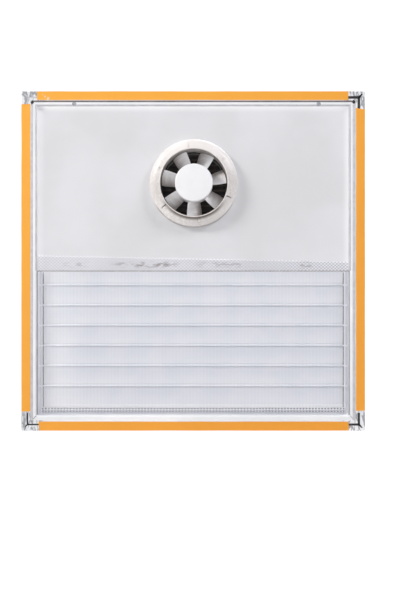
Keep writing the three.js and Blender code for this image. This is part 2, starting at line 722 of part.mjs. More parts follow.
/** Stiles and rails, and the flaps on their rods, numbered from the top. */
function buildShutter() {
  const group = new THREE.Group();
  group.add(piece("shutter_stile_left", shutterStile(-1), "coated"));
  group.add(piece("shutter_stile_right", shutterStile(1), "coated"));
  group.add(piece("shutter_head_rail", headRail(), "coated"));
  group.add(piece("shutter_sill_rail", sillRail(), "coated"));
  for (let i = 0; i < FLAP_COUNT; i++) {
    const drop = i === FLAP_COUNT - 1 ? lowestFlapDrop : flapDrop;
    const hung = new THREE.Group();
    hung.position.set(0, pivotY, topPivot - i * flapPitch);
    hung.add(piece(`flap_${i + 1}`, shutterFlap(drop), "flap"));
    hung.add(piece(`pivot_rod_${i + 1}`, pivotRod(), "flap"));
    group.add(hung);
  }
  return group;
}

// ---------------------------------------------------------------- fan body

/** The dished flange, with clip slots and a boss with a sunk hole for each screw. */
function fanFlange() {
  const inner = ductOuter + SEAT_GAP;
  const rimY = flangeBackY - FLANGE_RIM;
  const dish = (inset) =>
    bend(
      [flangeRadius - inset, rimY],
      [
        (flangeRadius + inner) / 2 - inset + FLANGE_CROWN,
        (rimY + flangeFrontY) / 2 + inset - FLANGE_CROWN,
      ],
      [inner, flangeFrontY + inset],
    );
  let flange = turned(
    [
      [flangeRadius, flangeBackY],
      ...dish(0),
      ...dish(FLANGE_WALL).reverse(),
      [flangeRadius - FLANGE_WALL, flangeBackY],
    ],
    WIDE_FACETS,
  );
  const dished = turned(
    [
      [inner, flangeBackY],
      [flangeRadius, flangeBackY],
      ...dish(0),
    ],
    WIDE_FACETS,
  );
  const cutY = flangeFrontY - OVERCUT;
  for (const angle of thirds(SCREW_ANGLE)) {
    const [x, z] = onCircle(screwRadius, angle);
    const sink = SCREW_HEAD + 2 * SEAT_GAP;
    const boss = rod(sink + BOSS_WALL, cutY, flangeBackY, x, z).intersect(dished);
    flange = flange
      .add(boss)
      .subtract(rod(sink, cutY, flangeBackY - SCREW_SEAT, x, z))
      .subtract(screwHole(x, z, cutY, flangeBackY + OVERCUT));
  }
  for (const angle of thirds(CLIP_ANGLE)) {
    const slot = new THREE.BoxGeometry(CLIP_LENGTH, FLANGE_RISE, CLIP_WIDTH);
    slot.translate(ductOuter + CLIP_OFFSET, flangeFrontY + FLANGE_RISE / 2 - FLANGE_RIM, 0);
    slot.rotateY(-THREE.MathUtils.degToRad(angle));
    flange = flange.subtract(solid(slot));
  }
  return flange;
}

/** The duct: a straight tube with a rounded front lip. */
function fanDuct() {
  return turned(
    [
      [DUCT_RADIUS, ductFrontY + DUCT_LIP],
      [DUCT_RADIUS + DUCT_WALL / 2, ductFrontY],
      [ductOuter, ductFrontY + DUCT_LIP],
      [ductOuter, ductBackY],
      [DUCT_RADIUS, ductBackY],
    ],
    WIDE_FACETS,
  );
}

/** The clamp ring behind the panel, with a boss for each flange screw. */
function rearClampRing() {
  const inner = ductOuter + SEAT_GAP;
  let ring = turned(
    [
      [inner, lipY],
      [ductOuter + CLAMP_WIDTH, lipY],
      [ductOuter + CLAMP_WIDTH, lipY + CLAMP_THICKNESS],
      [inner + BOSS_WALL, lipY + CLAMP_THICKNESS],
      [inner + BOSS_WALL, clampBackY],
      [inner, clampBackY],
    ],
    WIDE_FACETS,
  );
  for (const angle of thirds(SCREW_ANGLE)) {
    const [x, z] = onCircle(screwRadius, angle);
    ring = ring
      .add(rod(SCREW_SHANK + SEAT_GAP + BOSS_WALL, lipY, lipY + CLAMP_BOSS_LENGTH, x, z))
      .subtract(screwHole(x, z, lipY - OVERCUT, lipY + CLAMP_BOSS_LENGTH + OVERCUT));
  }
  return ring;
}

/** The fixed outdoor grille: a ring that sleeves over the duct, and the sloping vanes set in it. */
function outerGrille() {
  const inner = ductOuter + SEAT_GAP;
  const outer = inner + GRILLE_WALL;
  const backY = ductBackY + GRILLE_DEPTH;
  const ring = turned(
    [
      [inner, ductBackY - GRILLE_SLEEVE],
      [outer, ductBackY - GRILLE_SLEEVE],
      [outer, backY],
      [DUCT_RADIUS, backY],
      [DUCT_RADIUS, ductBackY + SEAT_GAP],
      [inner, ductBackY + SEAT_GAP],
    ],
    WIDE_FACETS,
  );
  const middleY = (ductBackY + SEAT_GAP + backY) / 2;
  let vanes = block(
    [-GRILLE_RIB / 2, GRILLE_RIB / 2],
    [middleY - GRILLE_RIB / 2, middleY + GRILLE_RIB / 2],
    [-DUCT_RADIUS, DUCT_RADIUS],
  );
  const vanesPerSide = Math.floor(DUCT_RADIUS / VANE_PITCH);
  for (let i = -vanesPerSide; i <= vanesPerSide; i++) {
    const vane = new THREE.BoxGeometry(2 * DUCT_RADIUS, VANE_CHORD, VANE_THICKNESS);
    vane.rotateX(-VANE_TILT);
    vane.translate(0, middleY, i * VANE_PITCH);
    vanes = vanes.add(solid(vane));
  }
  const bore = rod(DUCT_RADIUS - SEAT_GAP, ductBackY, backY, 0, 0, WIDE_FACETS);
  return { ring, vanes: vanes.intersect(bore) };
}

/** The terminal box that straddles the duct, and the gland in its side. */
function terminalBox() {
  const frontY = clampBackY + TERMINAL_OFFSET;
  const half = TERMINAL_WIDTH / 2;
  const depth = [frontY, frontY + TERMINAL_DEPTH];
  const cut = [depth[0] - OVERCUT, depth[1] + OVERCUT];
  const saddle = rod(ductOuter + SEAT_GAP, ...cut, 0, 0, WIDE_FACETS);
  const box = block([-half, half], depth, [0, ductOuter + TERMINAL_HEIGHT]).subtract(saddle);
  const gland = new THREE.LatheGeometry(
    [
      [GLAND_BORE, 0],
      [GLAND_RADIUS, 0],
      [GLAND_RADIUS, GLAND_NUT],
      [GLAND_MOUTH, GLAND_LENGTH],
      [GLAND_BORE, GLAND_LENGTH],
      [GLAND_BORE, 0],
    ].map(([r, y]) => new THREE.Vector2(r, y)),
    HEX_FACETS,
  );
  gland.rotateZ(-Math.PI / 2);
  gland.translate(
    half + SEAT_GAP,
    (depth[0] + depth[1]) / 2,
    ductOuter + TERMINAL_HEIGHT - GLAND_RADIUS - BOSS_WALL,
  );
  return { box, gland: solid(gland) };
}

// ---------------------------------------------------------------- impeller

/** One blade: a cambered, tapered sheet bent round the hub, its leading edge towards the room. */
function blade(phase) {
  const [alongSteps, acrossSteps] = BLADE_STEPS;
  const sheet = new THREE.BoxGeometry(1, 1, 1, alongSteps, 1, acrossSteps);
  const position = sheet.attributes.position;
  const root = HUB_RADIUS - HUB_WALL / 2;
  for (let i = 0; i < position.count; i++) {
    const along = position.getX(i) + 0.5; // root to tip
    const across = position.getZ(i) + 0.5; // leading to trailing edge
    const side = position.getY(i); // half a thickness either way
    const radius = THREE.MathUtils.lerp(root, bladeTipRadius, along);
    const arc = radius * THREE.MathUtils.lerp(BLADE_ROOT_SPAN, BLADE_TIP_SPAN, along);
    const chord = Math.hypot(arc, BLADE_DEPTH);
    const bulge = 4 * across * (1 - across);
    const thickness = BLADE_THICKNESS * (BLADE_EDGE + (1 - BLADE_EDGE) * bulge);
    const rise = BLADE_CAMBER * chord * bulge + side * thickness;
    const round = arc * (across - 0.5) + (rise * BLADE_DEPTH) / chord;
    const y = bladeY + BLADE_DEPTH * across - (rise * arc) / chord;
    const angle = phase + round / radius;
    position.setXYZ(i, radius * Math.cos(angle), y, radius * Math.sin(angle));
  }
  return solid(sheet);
}

/** The impeller: a domed hub cup on a bored boss, with its ring of blades. */
function impeller() {
  const skinY = hubFrontY + HUB_CROWN;
  const inside = HUB_RADIUS - HUB_WALL;
  const bore = SHAFT_RADIUS + PRESS_GAP;
  let body = turned(
    [
      [0, hubFrontY + HUB_DIMPLE],
      [HUB_BOSS_RADIUS, hubFrontY],
      [(HUB_BOSS_RADIUS + HUB_RADIUS) / 2, hubFrontY + HUB_CROWN / 4],
      ...bend([HUB_RADIUS - HUB_ROUND, skinY], [HUB_RADIUS, skinY], [HUB_RADIUS, skinY + HUB_ROUND]),
      [HUB_RADIUS, hubBackY],
      [inside, hubBackY],
      [inside, skinY + HUB_ROUND],
      [inside - HUB_WALL, skinY + HUB_WALL],
      [HUB_BOSS_RADIUS, skinY + HUB_WALL],
      [HUB_BOSS_RADIUS, bossBackY],
      [bore, bossBackY],
      [bore, skinY + HUB_WALL],
      [0, skinY + HUB_WALL],
    ],
    HUB_FACETS,
  );
  for (let i = 0; i < BLADE_COUNT; i++)
    body = body.add(blade(THREE.MathUtils.degToRad(BLADE_PHASE + (360 * i) / BLADE_COUNT)));
  return body;
}

// ---------------------------------------------------------------- motor

/** Housing, end cap, bearings, core and shaft of the motor, front to back. */
function buildMotor() {
  const group = new THREE.Group();
  const cup = BEARING_RADIUS + PRESS_GAP;
  const cupOuter = cup + BEARING_WALL;
  const inside = motorRadius - MOTOR_WALL;
  const cupDepth = BEARING_LENGTH + MOTOR_WALL / 2;
  const housing = turned(
    [
      [cup, motorY],
      [motorRadius, motorY],
      [motorRadius, motorBackY],
      [inside, motorBackY],
      [inside, motorY + MOTOR_WALL],
      [cupOuter, motorY + MOTOR_WALL],
      [cupOuter, motorY + cupDepth],
      [cup, motorY + cupDepth],
    ],
    MOTOR_FACETS,
  );
  const capY = motorBackY + SEAT_GAP;
  const endCap = turned(
    [
      [cup, capBackY - cupDepth],
      [cupOuter, capBackY - cupDepth],
      [cupOuter, capY],
      [motorRadius, capY],
      [motorRadius, capBackY],
      [cup, capBackY],
    ],
    MOTOR_FACETS,
  );
  const bearing = (fromY) =>
    turned(
      [
        [SHAFT_RADIUS + RUNNING_GAP, fromY],
        [BEARING_RADIUS, fromY],
        [BEARING_RADIUS, fromY + BEARING_LENGTH],
        [SHAFT_RADIUS + RUNNING_GAP, fromY + BEARING_LENGTH],
      ],
      MOTOR_FACETS,
    );
  const coreY = (motorY + capBackY - CORE_LENGTH) / 2;
  const rotor = turned(
    [
      [SHAFT_RADIUS + PRESS_GAP, coreY],
      [ROTOR_RADIUS - CORE_CHAMFER, coreY],
      [ROTOR_RADIUS, coreY + CORE_CHAMFER],
      [ROTOR_RADIUS, coreY + CORE_LENGTH - CORE_CHAMFER],
      [ROTOR_RADIUS - CORE_CHAMFER, coreY + CORE_LENGTH],
      [SHAFT_RADIUS + PRESS_GAP, coreY + CORE_LENGTH],
    ],
    MOTOR_FACETS,
  );
  const statorBore = ROTOR_RADIUS + AIR_GAP;
  let stator = turned(
    [
      [statorBore, coreY],
      [inside - SEAT_GAP, coreY],
      [inside - SEAT_GAP, coreY + CORE_LENGTH],
      [statorBore, coreY + CORE_LENGTH],
    ],
    MOTOR_FACETS,
  );
  for (let i = 0; i < STATOR_SLOTS; i++) {
    const slot = new THREE.BoxGeometry(
      STATOR_SLOT_DEPTH + 2 * OVERCUT,
      CORE_LENGTH + 2 * OVERCUT,
      STATOR_SLOT_WIDTH,
    );
    slot.translate(statorBore + STATOR_SLOT_DEPTH / 2, coreY + CORE_LENGTH / 2, 0);
    slot.rotateY((2 * Math.PI * i) / STATOR_SLOTS);
    stator = stator.subtract(solid(slot));
  }
  const shaftFrontY = hubFrontY + HUB_CROWN + HUB_WALL + SEAT_GAP;
  const shaft = rod(SHAFT_RADIUS, shaftFrontY, capBackY - SHAFT_RECESS);
  group.add(piece("motor_housing", housing, "cast"));
  group.add(piece("motor_end_cap", endCap, "cast"));
  group.add(piece("bearing_front", bearing(motorY + MOTOR_WALL / 4), "bronze"));
  group.add(piece("bearing_rear", bearing(capBackY - BEARING_LENGTH - MOTOR_WALL / 4), "bronze"));
  group.add(piece("stator", stator, "cast"));
  group.add(piece("rotor", rotor, "steel"));
  group.add(piece("shaft", shaft, "steel"));
  return group;
}

/** The spider that carries the motor in the duct: two rings joined by three arms. */
function motorMount() {
  const depth = [mountY, motorBackY];
  const ring = (inner, outer) =>
    turned(
      [
        [inner, depth[0]],
        [outer, depth[0]],
        [outer, depth[1]],
        [inner, depth[1]],
      ],
      WIDE_FACETS,
    );
  const inner = motorRadius + SEAT_GAP;
  const outer = DUCT_RADIUS - SEAT_GAP;
  let mount = ring(inner, inner + MOUNT_RING).add(ring(outer - MOUNT_RING, outer));
  for (const angle of thirds(MOUNT_ANGLE)) {
    const arm = new THREE.BoxGeometry(outer - inner - MOUNT_RING, MOUNT_DEPTH, MOUNT_ARM);
    arm.translate((outer + inner) / 2, (depth[0] + depth[1]) / 2, 0);
    arm.rotateY(-THREE.MathUtils.degToRad(angle));
    mount = mount.add(solid(arm));
  }
  return mount;
}

/** The fan, about its own axis. */
function buildFan() {
  const group = new THREE.Group();
  group.position.set(FAN_X, 0, fanZ);
  group.add(piece("fan_flange", fanFlange(), "moulded"));
  group.add(piece("fan_duct", fanDuct(), "moulded"));
  group.add(piece("rear_clamp_ring", rearClampRing(), "moulded"));
  const { ring, vanes } = outerGrille();
  group.add(piece("outer_grille", ring, "dark"));
  group.add(piece("grille_vanes", vanes, "dark"));
  group.add(piece("motor_mount", motorMount(), "dark"));
  group.add(piece("impeller", impeller(), "blade"));
  group.add(buildMotor());
  const { box, gland } = terminalBox();
  group.add(piece("terminal_box", box, "dark"));
  group.add(piece("cable_gland", gland, "dark"));
  thirds(SCREW_ANGLE).forEach((angle, i) => {
    const [x, z] = onCircle(screwRadius, angle);
    const screw = panHeadScrew(flangeBackY - SCREW_SEAT - SEAT_GAP, SCREW_LENGTH);
    const mesh = piece(`flange_screw_${i + 1}`, screw, "steel");
    mesh.position.set(x, 0, z);
    group.add(mesh);
  });
  return group;
}

const windowFan = new THREE.Group();
windowFan.add(buildFrame(), buildGlazing(), buildShutter(), buildFan());

export default windowFan;
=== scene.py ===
"""White window insert with a round exhaust fan above a gravity shutter, dressed for the studio.

Everything is in metres, with the room at -Y, outdoors at +Y and +Z up. The sizes that the classes
hold are in millimetres, as on a maker's drawing.
"""

import json
import logging
import math
import random
from dataclasses import dataclass
from enum import Enum
from typing import Any, NamedTuple

import bmesh
import bpy
from mathutils import Matrix, Vector
from mathutils.geometry import interpolate_bezier

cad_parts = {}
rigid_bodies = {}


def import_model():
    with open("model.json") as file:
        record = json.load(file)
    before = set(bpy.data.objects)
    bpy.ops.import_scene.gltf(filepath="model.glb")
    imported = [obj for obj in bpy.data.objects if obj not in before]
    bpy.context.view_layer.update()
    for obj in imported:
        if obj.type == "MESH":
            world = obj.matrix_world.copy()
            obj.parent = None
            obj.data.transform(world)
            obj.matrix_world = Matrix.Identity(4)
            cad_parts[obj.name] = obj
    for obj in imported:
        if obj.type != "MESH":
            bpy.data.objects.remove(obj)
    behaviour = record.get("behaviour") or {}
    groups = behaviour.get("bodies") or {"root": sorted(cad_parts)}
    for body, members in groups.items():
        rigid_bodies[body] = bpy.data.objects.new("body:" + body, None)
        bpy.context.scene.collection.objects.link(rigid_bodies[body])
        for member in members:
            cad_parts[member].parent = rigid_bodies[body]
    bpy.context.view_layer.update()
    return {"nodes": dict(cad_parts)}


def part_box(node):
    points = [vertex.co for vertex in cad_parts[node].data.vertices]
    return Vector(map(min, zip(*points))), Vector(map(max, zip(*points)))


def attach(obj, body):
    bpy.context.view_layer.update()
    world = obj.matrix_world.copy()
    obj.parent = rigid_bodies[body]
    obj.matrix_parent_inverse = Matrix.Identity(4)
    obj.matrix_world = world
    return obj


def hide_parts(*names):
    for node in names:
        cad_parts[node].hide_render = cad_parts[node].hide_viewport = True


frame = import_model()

Tree = bpy.types.NodeTree
Piece = bpy.types.Object
Mesh = bmesh.types.BMesh
Vertex = bmesh.types.BMVert
Point = tuple[float, float]
Size = tuple[float, float, float]  # across, from front to back and up
Block = tuple[Size, Matrix, float]  # a block's size, its place and its rounding

log = logging.getLogger("window_fan")
MM = 0.001
PER_METRE = 1000.0  # over a size in millimetres, this gives how often it fits in a metre
ON_AXIS = 0.001  # a radius in millimetres that closes on the axis when doubles are merged
FAN_AXIS = (1.5, 576.5)  # the fan's centre across and up
NET_SLOPE = math.tan(math.radians(1.15))  # how fast the net's cut edge falls to the right
HANDS = ("left", "right")


# ---------------------------------------------------------------- names and choices

class Body(Enum):
    """What a piece moves with, apart from the blades, whose bodies are numbered."""

    UNIT = "window_unit"
    WHEEL = "fan_wheel"


class Side(Enum):
    """The four sides of the frame."""

    SILL = "sill"
    HEAD = "head"
    LEFT = "left"
    RIGHT = "right"

    @property
    def level(self) -> bool:
        """Whether its bar runs along X."""
        return self in (Side.SILL, Side.HEAD)


# ---------------------------------------------------------------- materials

def linear(hex_colour: str) -> tuple[float, float, float, float]:
    """Turns an sRGB colour to linear light.

    Args:
        hex_colour: the colour as #RRGGBB
    Returns:
        red, green, blue and full alpha
    """
    parts = [int(hex_colour[i:i + 2], 16) / 255 for i in (1, 3, 5)]
    r, g, b = (c / 12.92 if c <= 0.04045 else ((c + 0.055) / 1.055) ** 2.4 for c in parts)
    return r, g, b, 1.0


def add_node(
    tree: Tree, kind: str, inputs: dict | None = None, output: int | str = 0, **settings: Any,
) -> Any:
    """Adds a node with its settings, and fills or links its inputs.

    Args:
        tree: the node tree that gets it
        kind: the node's type after "ShaderNode"
        inputs: a value or an output socket for each input, by name or number
        output: which output is wanted, by name or number
        settings: the node's own settings
    Returns:
        the output socket, or None for a node that has none
    """
    node = tree.nodes.new(f"ShaderNode{kind}")
    for name, value in settings.items():
        setattr(node, name, value)
    for name, value in (inputs or {}).items():
        if isinstance(value, bpy.types.NodeSocket):
            tree.links.new(value, node.inputs[name])
        else:
            node.inputs[name].default_value = value
    return node.outputs[output] if node.outputs else None


class Ramp(NamedTuple):
    """A measure that is carried smoothly from where a mark starts to where it is full."""

    measure: Any
    start: float
    full: float
    least: float = 0.0
    most: float = 1.0


def share(tree: Tree, *parts: Any) -> Any:
    """How strongly a mark shows where several measures meet.

    Args:
        tree: the material's nodes
        parts: ramps, sockets and numbers
    Returns:
        the socket with their product
    """
    total = None
    for part in parts:
        if isinstance(part, Ramp):
            part = add_node(tree, "MapRange", dict(enumerate(part)), interpolation_type="SMOOTHSTEP")
        total = part if total is None else add_node(tree, "Math", {0: total, 1: part}, operation="MULTIPLY")
    return total


def stained(tree: Tree, ground: Any, stain: Any, *parts: Any) -> Any:
    """A colour with another laid over part of it.

    Args:
        tree: the material's nodes
        ground: the colour below
        stain: the colour laid on it
        parts: what makes up its share
    Returns:
        the socket with the mixed colour
    """
    return add_node(tree, "Mix", {0: share(tree, *parts), 6: ground, 7: stain}, 2, data_type="RGBA")


def distance(tree: Tree, measure: Any, middle: float = 0.0) -> Any:
    """How far a measure lies from a middle value, to either side.

    Args:
        tree: the material's nodes
        measure: its socket
        middle: the value it is compared with
    Returns:
        the socket with the distance
    """
    moved = add_node(tree, "Math", {0: measure, 1: middle}, operation="SUBTRACT")
    return add_node(tree, "Math", {0: moved}, operation="ABSOLUTE")


def wave(tree: Tree, measure: Any, period: float) -> Any:
    """A cosine along a measure.

    Args:
        tree: the material's nodes
        measure: its socket, in metres
        period: from crest to crest, in millimetres
    Returns:
        the socket with the wave
    """
    turns = share(tree, measure, 2 * math.pi * PER_METRE / period)
    return add_node(tree, "Math", {0: turns}, operation="COSINE")


@dataclass(frozen=True)
class Finish:
    """One real material, with what its making leaves on the surface. Sizes are in millimetres."""

    name: str
    slot: str
    colour: str
    shade: str  # the colour that it drifts to
    roughness: float
    drift: float = 90.0  # the size of its soft patches of colour
    grain: float = 1.2  # the size of its relief
    relief: float = 0.02  # the depth of its relief
    swing: float = 0.06  # how far the roughness moves with the relief
    stretch: Size = (1.0, 1.0, 1.0)  # how dense the relief is along each axis
    metallic: float = 0.0
    subsurface: float = 0.0
    subsurface_reach: float = 2.0

    def tint(self, tree: Tree, place: Any) -> Any:
        """The surface's colour: the main one, drifting to the shade in soft patches.

        Args:
            tree: the material's nodes
            place: object coordinates
        Returns:
            the socket with the colour
        """
        density = PER_METRE / self.drift
        patches = add_node(tree, "TexNoise", {"Vector": place, "Scale": density, "Detail": 3.0})
        return stained(tree, linear(self.colour), linear(self.shade), Ramp(patches, 0.38, 0.62))

    def material(self) -> bpy.types.Material:
        """Makes the material once, for every piece that has this finish.

        Returns:
            the material
        """
        made = bpy.data.materials.get(self.name)
        if made:
            return made
        made = bpy.data.materials.new(self.name)
        made.use_nodes = True
        tree = made.node_tree
        tree.nodes.clear()
        place = add_node(tree, "TexCoord", output="Object")
        drawn = add_node(tree, "Mapping", {"Vector": place, "Scale": self.stretch})
        relief = add_node(tree, "TexNoise", {"Vector": drawn, "Scale": PER_METRE / self.grain, "Detail": 2.0})
        bump = add_node(tree, "Bump", {"Strength": 1.0, "Distance": self.relief * MM, "Height": relief})
        rough = Ramp(relief, 0.3, 0.7, self.roughness - self.swing, self.roughness + self.swing)
        surface = add_node(tree, "BsdfPrincipled", {
            "Base Color": self.tint(tree, place),
            "Roughness": share(tree, rough),
            "Normal": bump,
            "Metallic": self.metallic,
            "Subsurface Weight": self.subsurface,
            "Subsurface Scale": self.subsurface_reach * MM,
        })
        add_node(tree, "OutputMaterial", {0: surface})
        return made


@dataclass(frozen=True)
class TapeFinish(Finish):
    """Low-tack tape: painted shade deepens its colour to the lower right, and it has rubbed through near one
    corner.
    """

    painted_shade_run: Point = (-1.0, 0.55)  # X less Z in metres, from the lit end to the end in painted shade
    wander: float = 0.5
    worn: str = "#EDE3D2"
    worn_spots: tuple[Size, ...] = (  # X, Z and radius
        (-350.0, 782.5, 3.5), (-344.5, 777.5, 4.5), (-338.0, 773.0, 5.0),
    )
    worn_face: float = -31.0
    worn_edge: float = 3.5
    worn_ragged: float = 9.0

    def tint(self, tree: Tree, place: Any) -> Any:
        """The tape's colour with its painted shade and its rubbed spots.

        Args:
            tree: the material's nodes
            place: object coordinates
        Returns:
            the socket with the colour
        """
        x, _, z = add_node(tree, "SeparateXYZ", {0: place}).node.outputs
        # painted shade: the colour deepens along X less Z, wandering with a noise
        slant = add_node(tree, "Math", {0: x, 1: z}, operation="SUBTRACT")
        drift = add_node(tree, "TexNoise", {"Vector": place, "Scale": PER_METRE / self.drift, "Detail": 3.0})
        painted_shade_and_drift = add_node(tree, "Math", {0: slant, 1: share(tree, drift, self.wander)}, operation="ADD")
        colour = stained(tree, linear(self.colour), linear(self.shade), Ramp(painted_shade_and_drift, *self.painted_shade_run))
        ragged = add_node(tree, "TexNoise", {"Vector": place, "Scale": PER_METRE / 3.0, "Detail": 3.0})
        ragged = share(tree, ragged, self.worn_ragged * MM)
        for spot_x, spot_z, size in self.worn_spots:
            spot = (spot_x * MM, self.worn_face * MM, spot_z * MM)
            away = add_node(tree, "VectorMath", {0: place, 1: spot}, "Value", operation="DISTANCE")
            away = add_node(tree, "Math", {0: away, 1: ragged}, operation="ADD")
            near = Ramp(away, (size + self.worn_edge) * MM, size * MM, most=0.8)
            colour = stained(tree, colour, linear(self.worn), near)
        return colour


@dataclass(frozen=True)
class NetShown(Finish):
    """A surface on which the net shows. The net's weave is too fine to draw, so it beats 7 to 8 mm apart."""

    beat: Point = (8.0, 7.0)  # across and up
    top: float = 402.4  # the height of the net's cut edge at the middle
    soften: float = 1.5

    def beats(self, tree: Tree, x: Any, z: Any) -> list[Any]:
        """The net's beat across and up, as two cosines."""
        return [wave(tree, axis, period) for axis, period in zip((x, z), self.beat)]

    def across_cut(self, tree: Tree, x: Any, z: Any, edge: float, soft: float) -> Ramp:
        """What lies to one side of a line along the net's slanted cut.

        Args:
            tree: the material's nodes
            x: the place across
            z: the place up
            edge: the line's height at the middle, in millimetres
            soft: how far from it the mark is full, in millimetres, upwards if above 0
        Returns:
            the ramp across the line
        """
        level = add_node(tree, "Math", {0: z, 1: share(tree, x, NET_SLOPE)}, operation="ADD")
        return Ramp(level, edge * MM, (edge + soft) * MM)


@dataclass(frozen=True)
class PanelFinish(NetShown):
    """Pale sheet with painted light along its rims, smears of old glue, and the net's shadow painted in dots.
    """

    beat: Point = (8.2, 7.2)
    painted_light_sides: Size = (347.0, 365.0, 0.5)  # painted light: from and to how far out, and how much
    painted_light_head: Size = (742.0, 757.0, 0.4)
    smear: str = "#877E7C"
    band: Point = (376.0, 398.0)
    streak: float = 5.0
    patches: tuple[Size, ...] = (  # X, reach to either side and strength
        (-277.0, 34.0, 0.45), (-110.0, 92.0, 1.0), (70.0, 84.0, 0.5), (263.0, 18.0, 0.9),
    )
    shadow: str = "#8E8F98"
    shadow_strength: tuple[float, float, float, float] = (-100.0, 250.0, 0.2, 0.48)  # grows with X

    def tint(self, tree: Tree, place: Any) -> Any:
        """The sheet's colour with its painted light along the rims, its smears, and its painted shadow in
        dots.

        Args:
            tree: the material's nodes
            place: object coordinates
        Returns:
            the socket with the colour
        """
        x, _, z = add_node(tree, "SeparateXYZ", {0: place}).node.outputs
        # painted light along the rims, lifting the shade that the beads throw beside them
        painted_rim_light = [
            share(tree, Ramp(measure, start * MM, full * MM, most=most))
            for measure, (start, full, most) in ((distance(tree, x), self.painted_light_sides), (z, self.painted_light_head))
        ]
        painted_rim_light = add_node(tree, "Math", dict(enumerate(painted_rim_light)), operation="MAXIMUM")
        colour = stained(tree, super().tint(tree, place), linear("#FFFFFF"), painted_rim_light)
        low, high = (height * MM for height in self.band)
        middle = (low + high) / 2
        inside = share(tree, Ramp(z, low, middle), Ramp(z, high, middle))
        drawn = add_node(tree, "Mapping", {"Vector": place, "Scale": (0.22, 1.0, 1.0)})
        density = PER_METRE / self.streak
        streaks = add_node(tree, "TexNoise", {"Vector": drawn, "Scale": density, "Detail": 6.0})
        streaks = share(tree, Ramp(streaks, 0.46, 0.6))
        for centre, reach, strength in self.patches:
            near = Ramp(distance(tree, x, centre * MM), reach * MM, 0.4 * reach * MM, most=strength)
            colour = stained(tree, colour, linear(self.smear), near, inside, streaks)
        dots = Ramp(share(tree, *self.beats(tree, x, z)), -0.35, 0.35)
        under = self.across_cut(tree, x, z, self.top, -self.soften)
        start, full, least, most = self.shadow_strength
        strength = Ramp(x, start * MM, full * MM, least, most)
        return stained(tree, colour, linear(self.shadow), dots, under, strength)


@dataclass(frozen=True)
class NetFinish(NetShown):
    """Pale yarn whose brightness beats in diamonds over the panel and in upright lines below it."""

    bright: str = "#FBFBFD"
    panel_edge: float = 371.5
    loose: tuple[str, str] = ("#DBDCE2", "#CFD0D8")
    edge: float = 2.6

    def tint(self, tree: Tree, place: Any) -> Any:
        """The yarn's colour, with the bright cut edge.

        Args:
            tree: the material's nodes
            place: object coordinates
        Returns:
            the socket with the colour
        """
        x, _, z = add_node(tree, "SeparateXYZ", {0: place}).node.outputs
        beats = self.beats(tree, x, z)
        flatter = share(tree, Ramp(x, -0.15, 0.12, 1.7, 0.7))
        diamonds = add_node(tree, "Math", {0: share(tree, *beats), 1: flatter}, operation="DIVIDE")
        diamonds = stained(tree, linear(self.shade), linear(self.colour), Ramp(diamonds, -0.8, 0.8))
        lines = stained(tree, *map(linear, self.loose), Ramp(beats[0], -1, 1))
        over_panel = Ramp(z, (self.panel_edge - 3) * MM, self.panel_edge * MM)
        colour = stained(tree, lines, diamonds, over_panel)
        cut = self.across_cut(tree, x, z, self.top - self.edge - self.soften, self.soften)
        return stained(tree, colour, linear(self.bright), cut)


@dataclass(frozen=True)
class FlapFinish(Finish):
    """Extruded blade with painted light and shade: lighter down towards the hem, highlights on the bulb and
    the lowest hem, lighter towards the left end, darker in each neck and at its ends.
    """

    painted_highlight: str = "#FFFFFF"
    # here this colour serves only as painted shade
    grime_and_painted_shade: str = "#AEB0B8"
    first_top: float = 392.9  # the top of the first blade's bulb
    pitch: float = 47.5
    blades: int = 7
    skirt: Point = (14.0, 0.32)  # painted light: how far down it starts, and how much by the hem
    hem: Point = (4.0, 0.6)  # painted highlight: how far under the next bulb's top it is full, and how much
    bulb: tuple[float, ...] = (0.5, 2.0, 7.0, 5.8, 0.08)  # painted highlight on the bulb: from and full, gone and full, and how much
    # painted shade in the neck under each bulb, set out as the bulb's highlight is
    neck: tuple[float, ...] = (6.6, 7.8, 12.0, 9.0, 0.06)
    ends: Size = (348.5, 352.0, 0.2)  # painted shade at the ends: from and to how far out, and how much
    # painted light towards the left end: from and to X, and how much
    painted_light_left: Size = (-230.0, -335.0, 0.32)

    def tint(self, tree: Tree, place: Any) -> Any:
        """The blade's colour over one pitch, from each bulb down to the next, with its painted highlights,
        light and shade.

        Args:
            tree: the material's nodes
            place: object coordinates
        Returns:
            the socket with the colour
        """
        x, _, z = add_node(tree, "SeparateXYZ", {0: place}).node.outputs
        drop = add_node(tree, "Math", {0: self.first_top * MM, 1: z}, operation="SUBTRACT")
        above = add_node(tree, "Math", {0: drop, 1: self.pitch * MM}, operation="DIVIDE")
        above = add_node(tree, "Math", {0: above}, operation="FLOOR")
        above = add_node(tree, "Math", {0: above, 1: self.blades - 1}, operation="MINIMUM")
        passed = share(tree, above, self.pitch * MM)
        below = add_node(tree, "Math", {0: drop, 1: passed}, operation="SUBTRACT")
        side = add_node(tree, "Math", {0: x}, operation="ABSOLUTE")
        painted_highlight, grime_and_painted_shade = linear(self.painted_highlight), linear(self.grime_and_painted_shade)
        # every mark here is painted light or shade: highlights and light in white, shade in the grey colour
        marks = [
            (painted_highlight, below, (self.skirt[0], self.pitch, self.skirt[1])),
            (painted_highlight, below, (self.pitch, self.pitch + self.hem[0], self.hem[1])),
            (painted_highlight, below, self.bulb),
            (grime_and_painted_shade, below, self.neck),
            (grime_and_painted_shade, side, self.ends),
            (painted_highlight, x, self.painted_light_left),
        ]
        colour = super().tint(tree, place)
        for stain, measure, (*limits, most) in marks:
            if len(limits) == 2:
                parts = [Ramp(measure, limits[0] * MM, limits[1] * MM, most=most)]
            else:
                parts = [Ramp(measure, a * MM, b * MM) for a, b in zip(limits[::2], limits[1::2])] + [most]
            colour = stained(tree, colour, stain, *parts)
        return colour


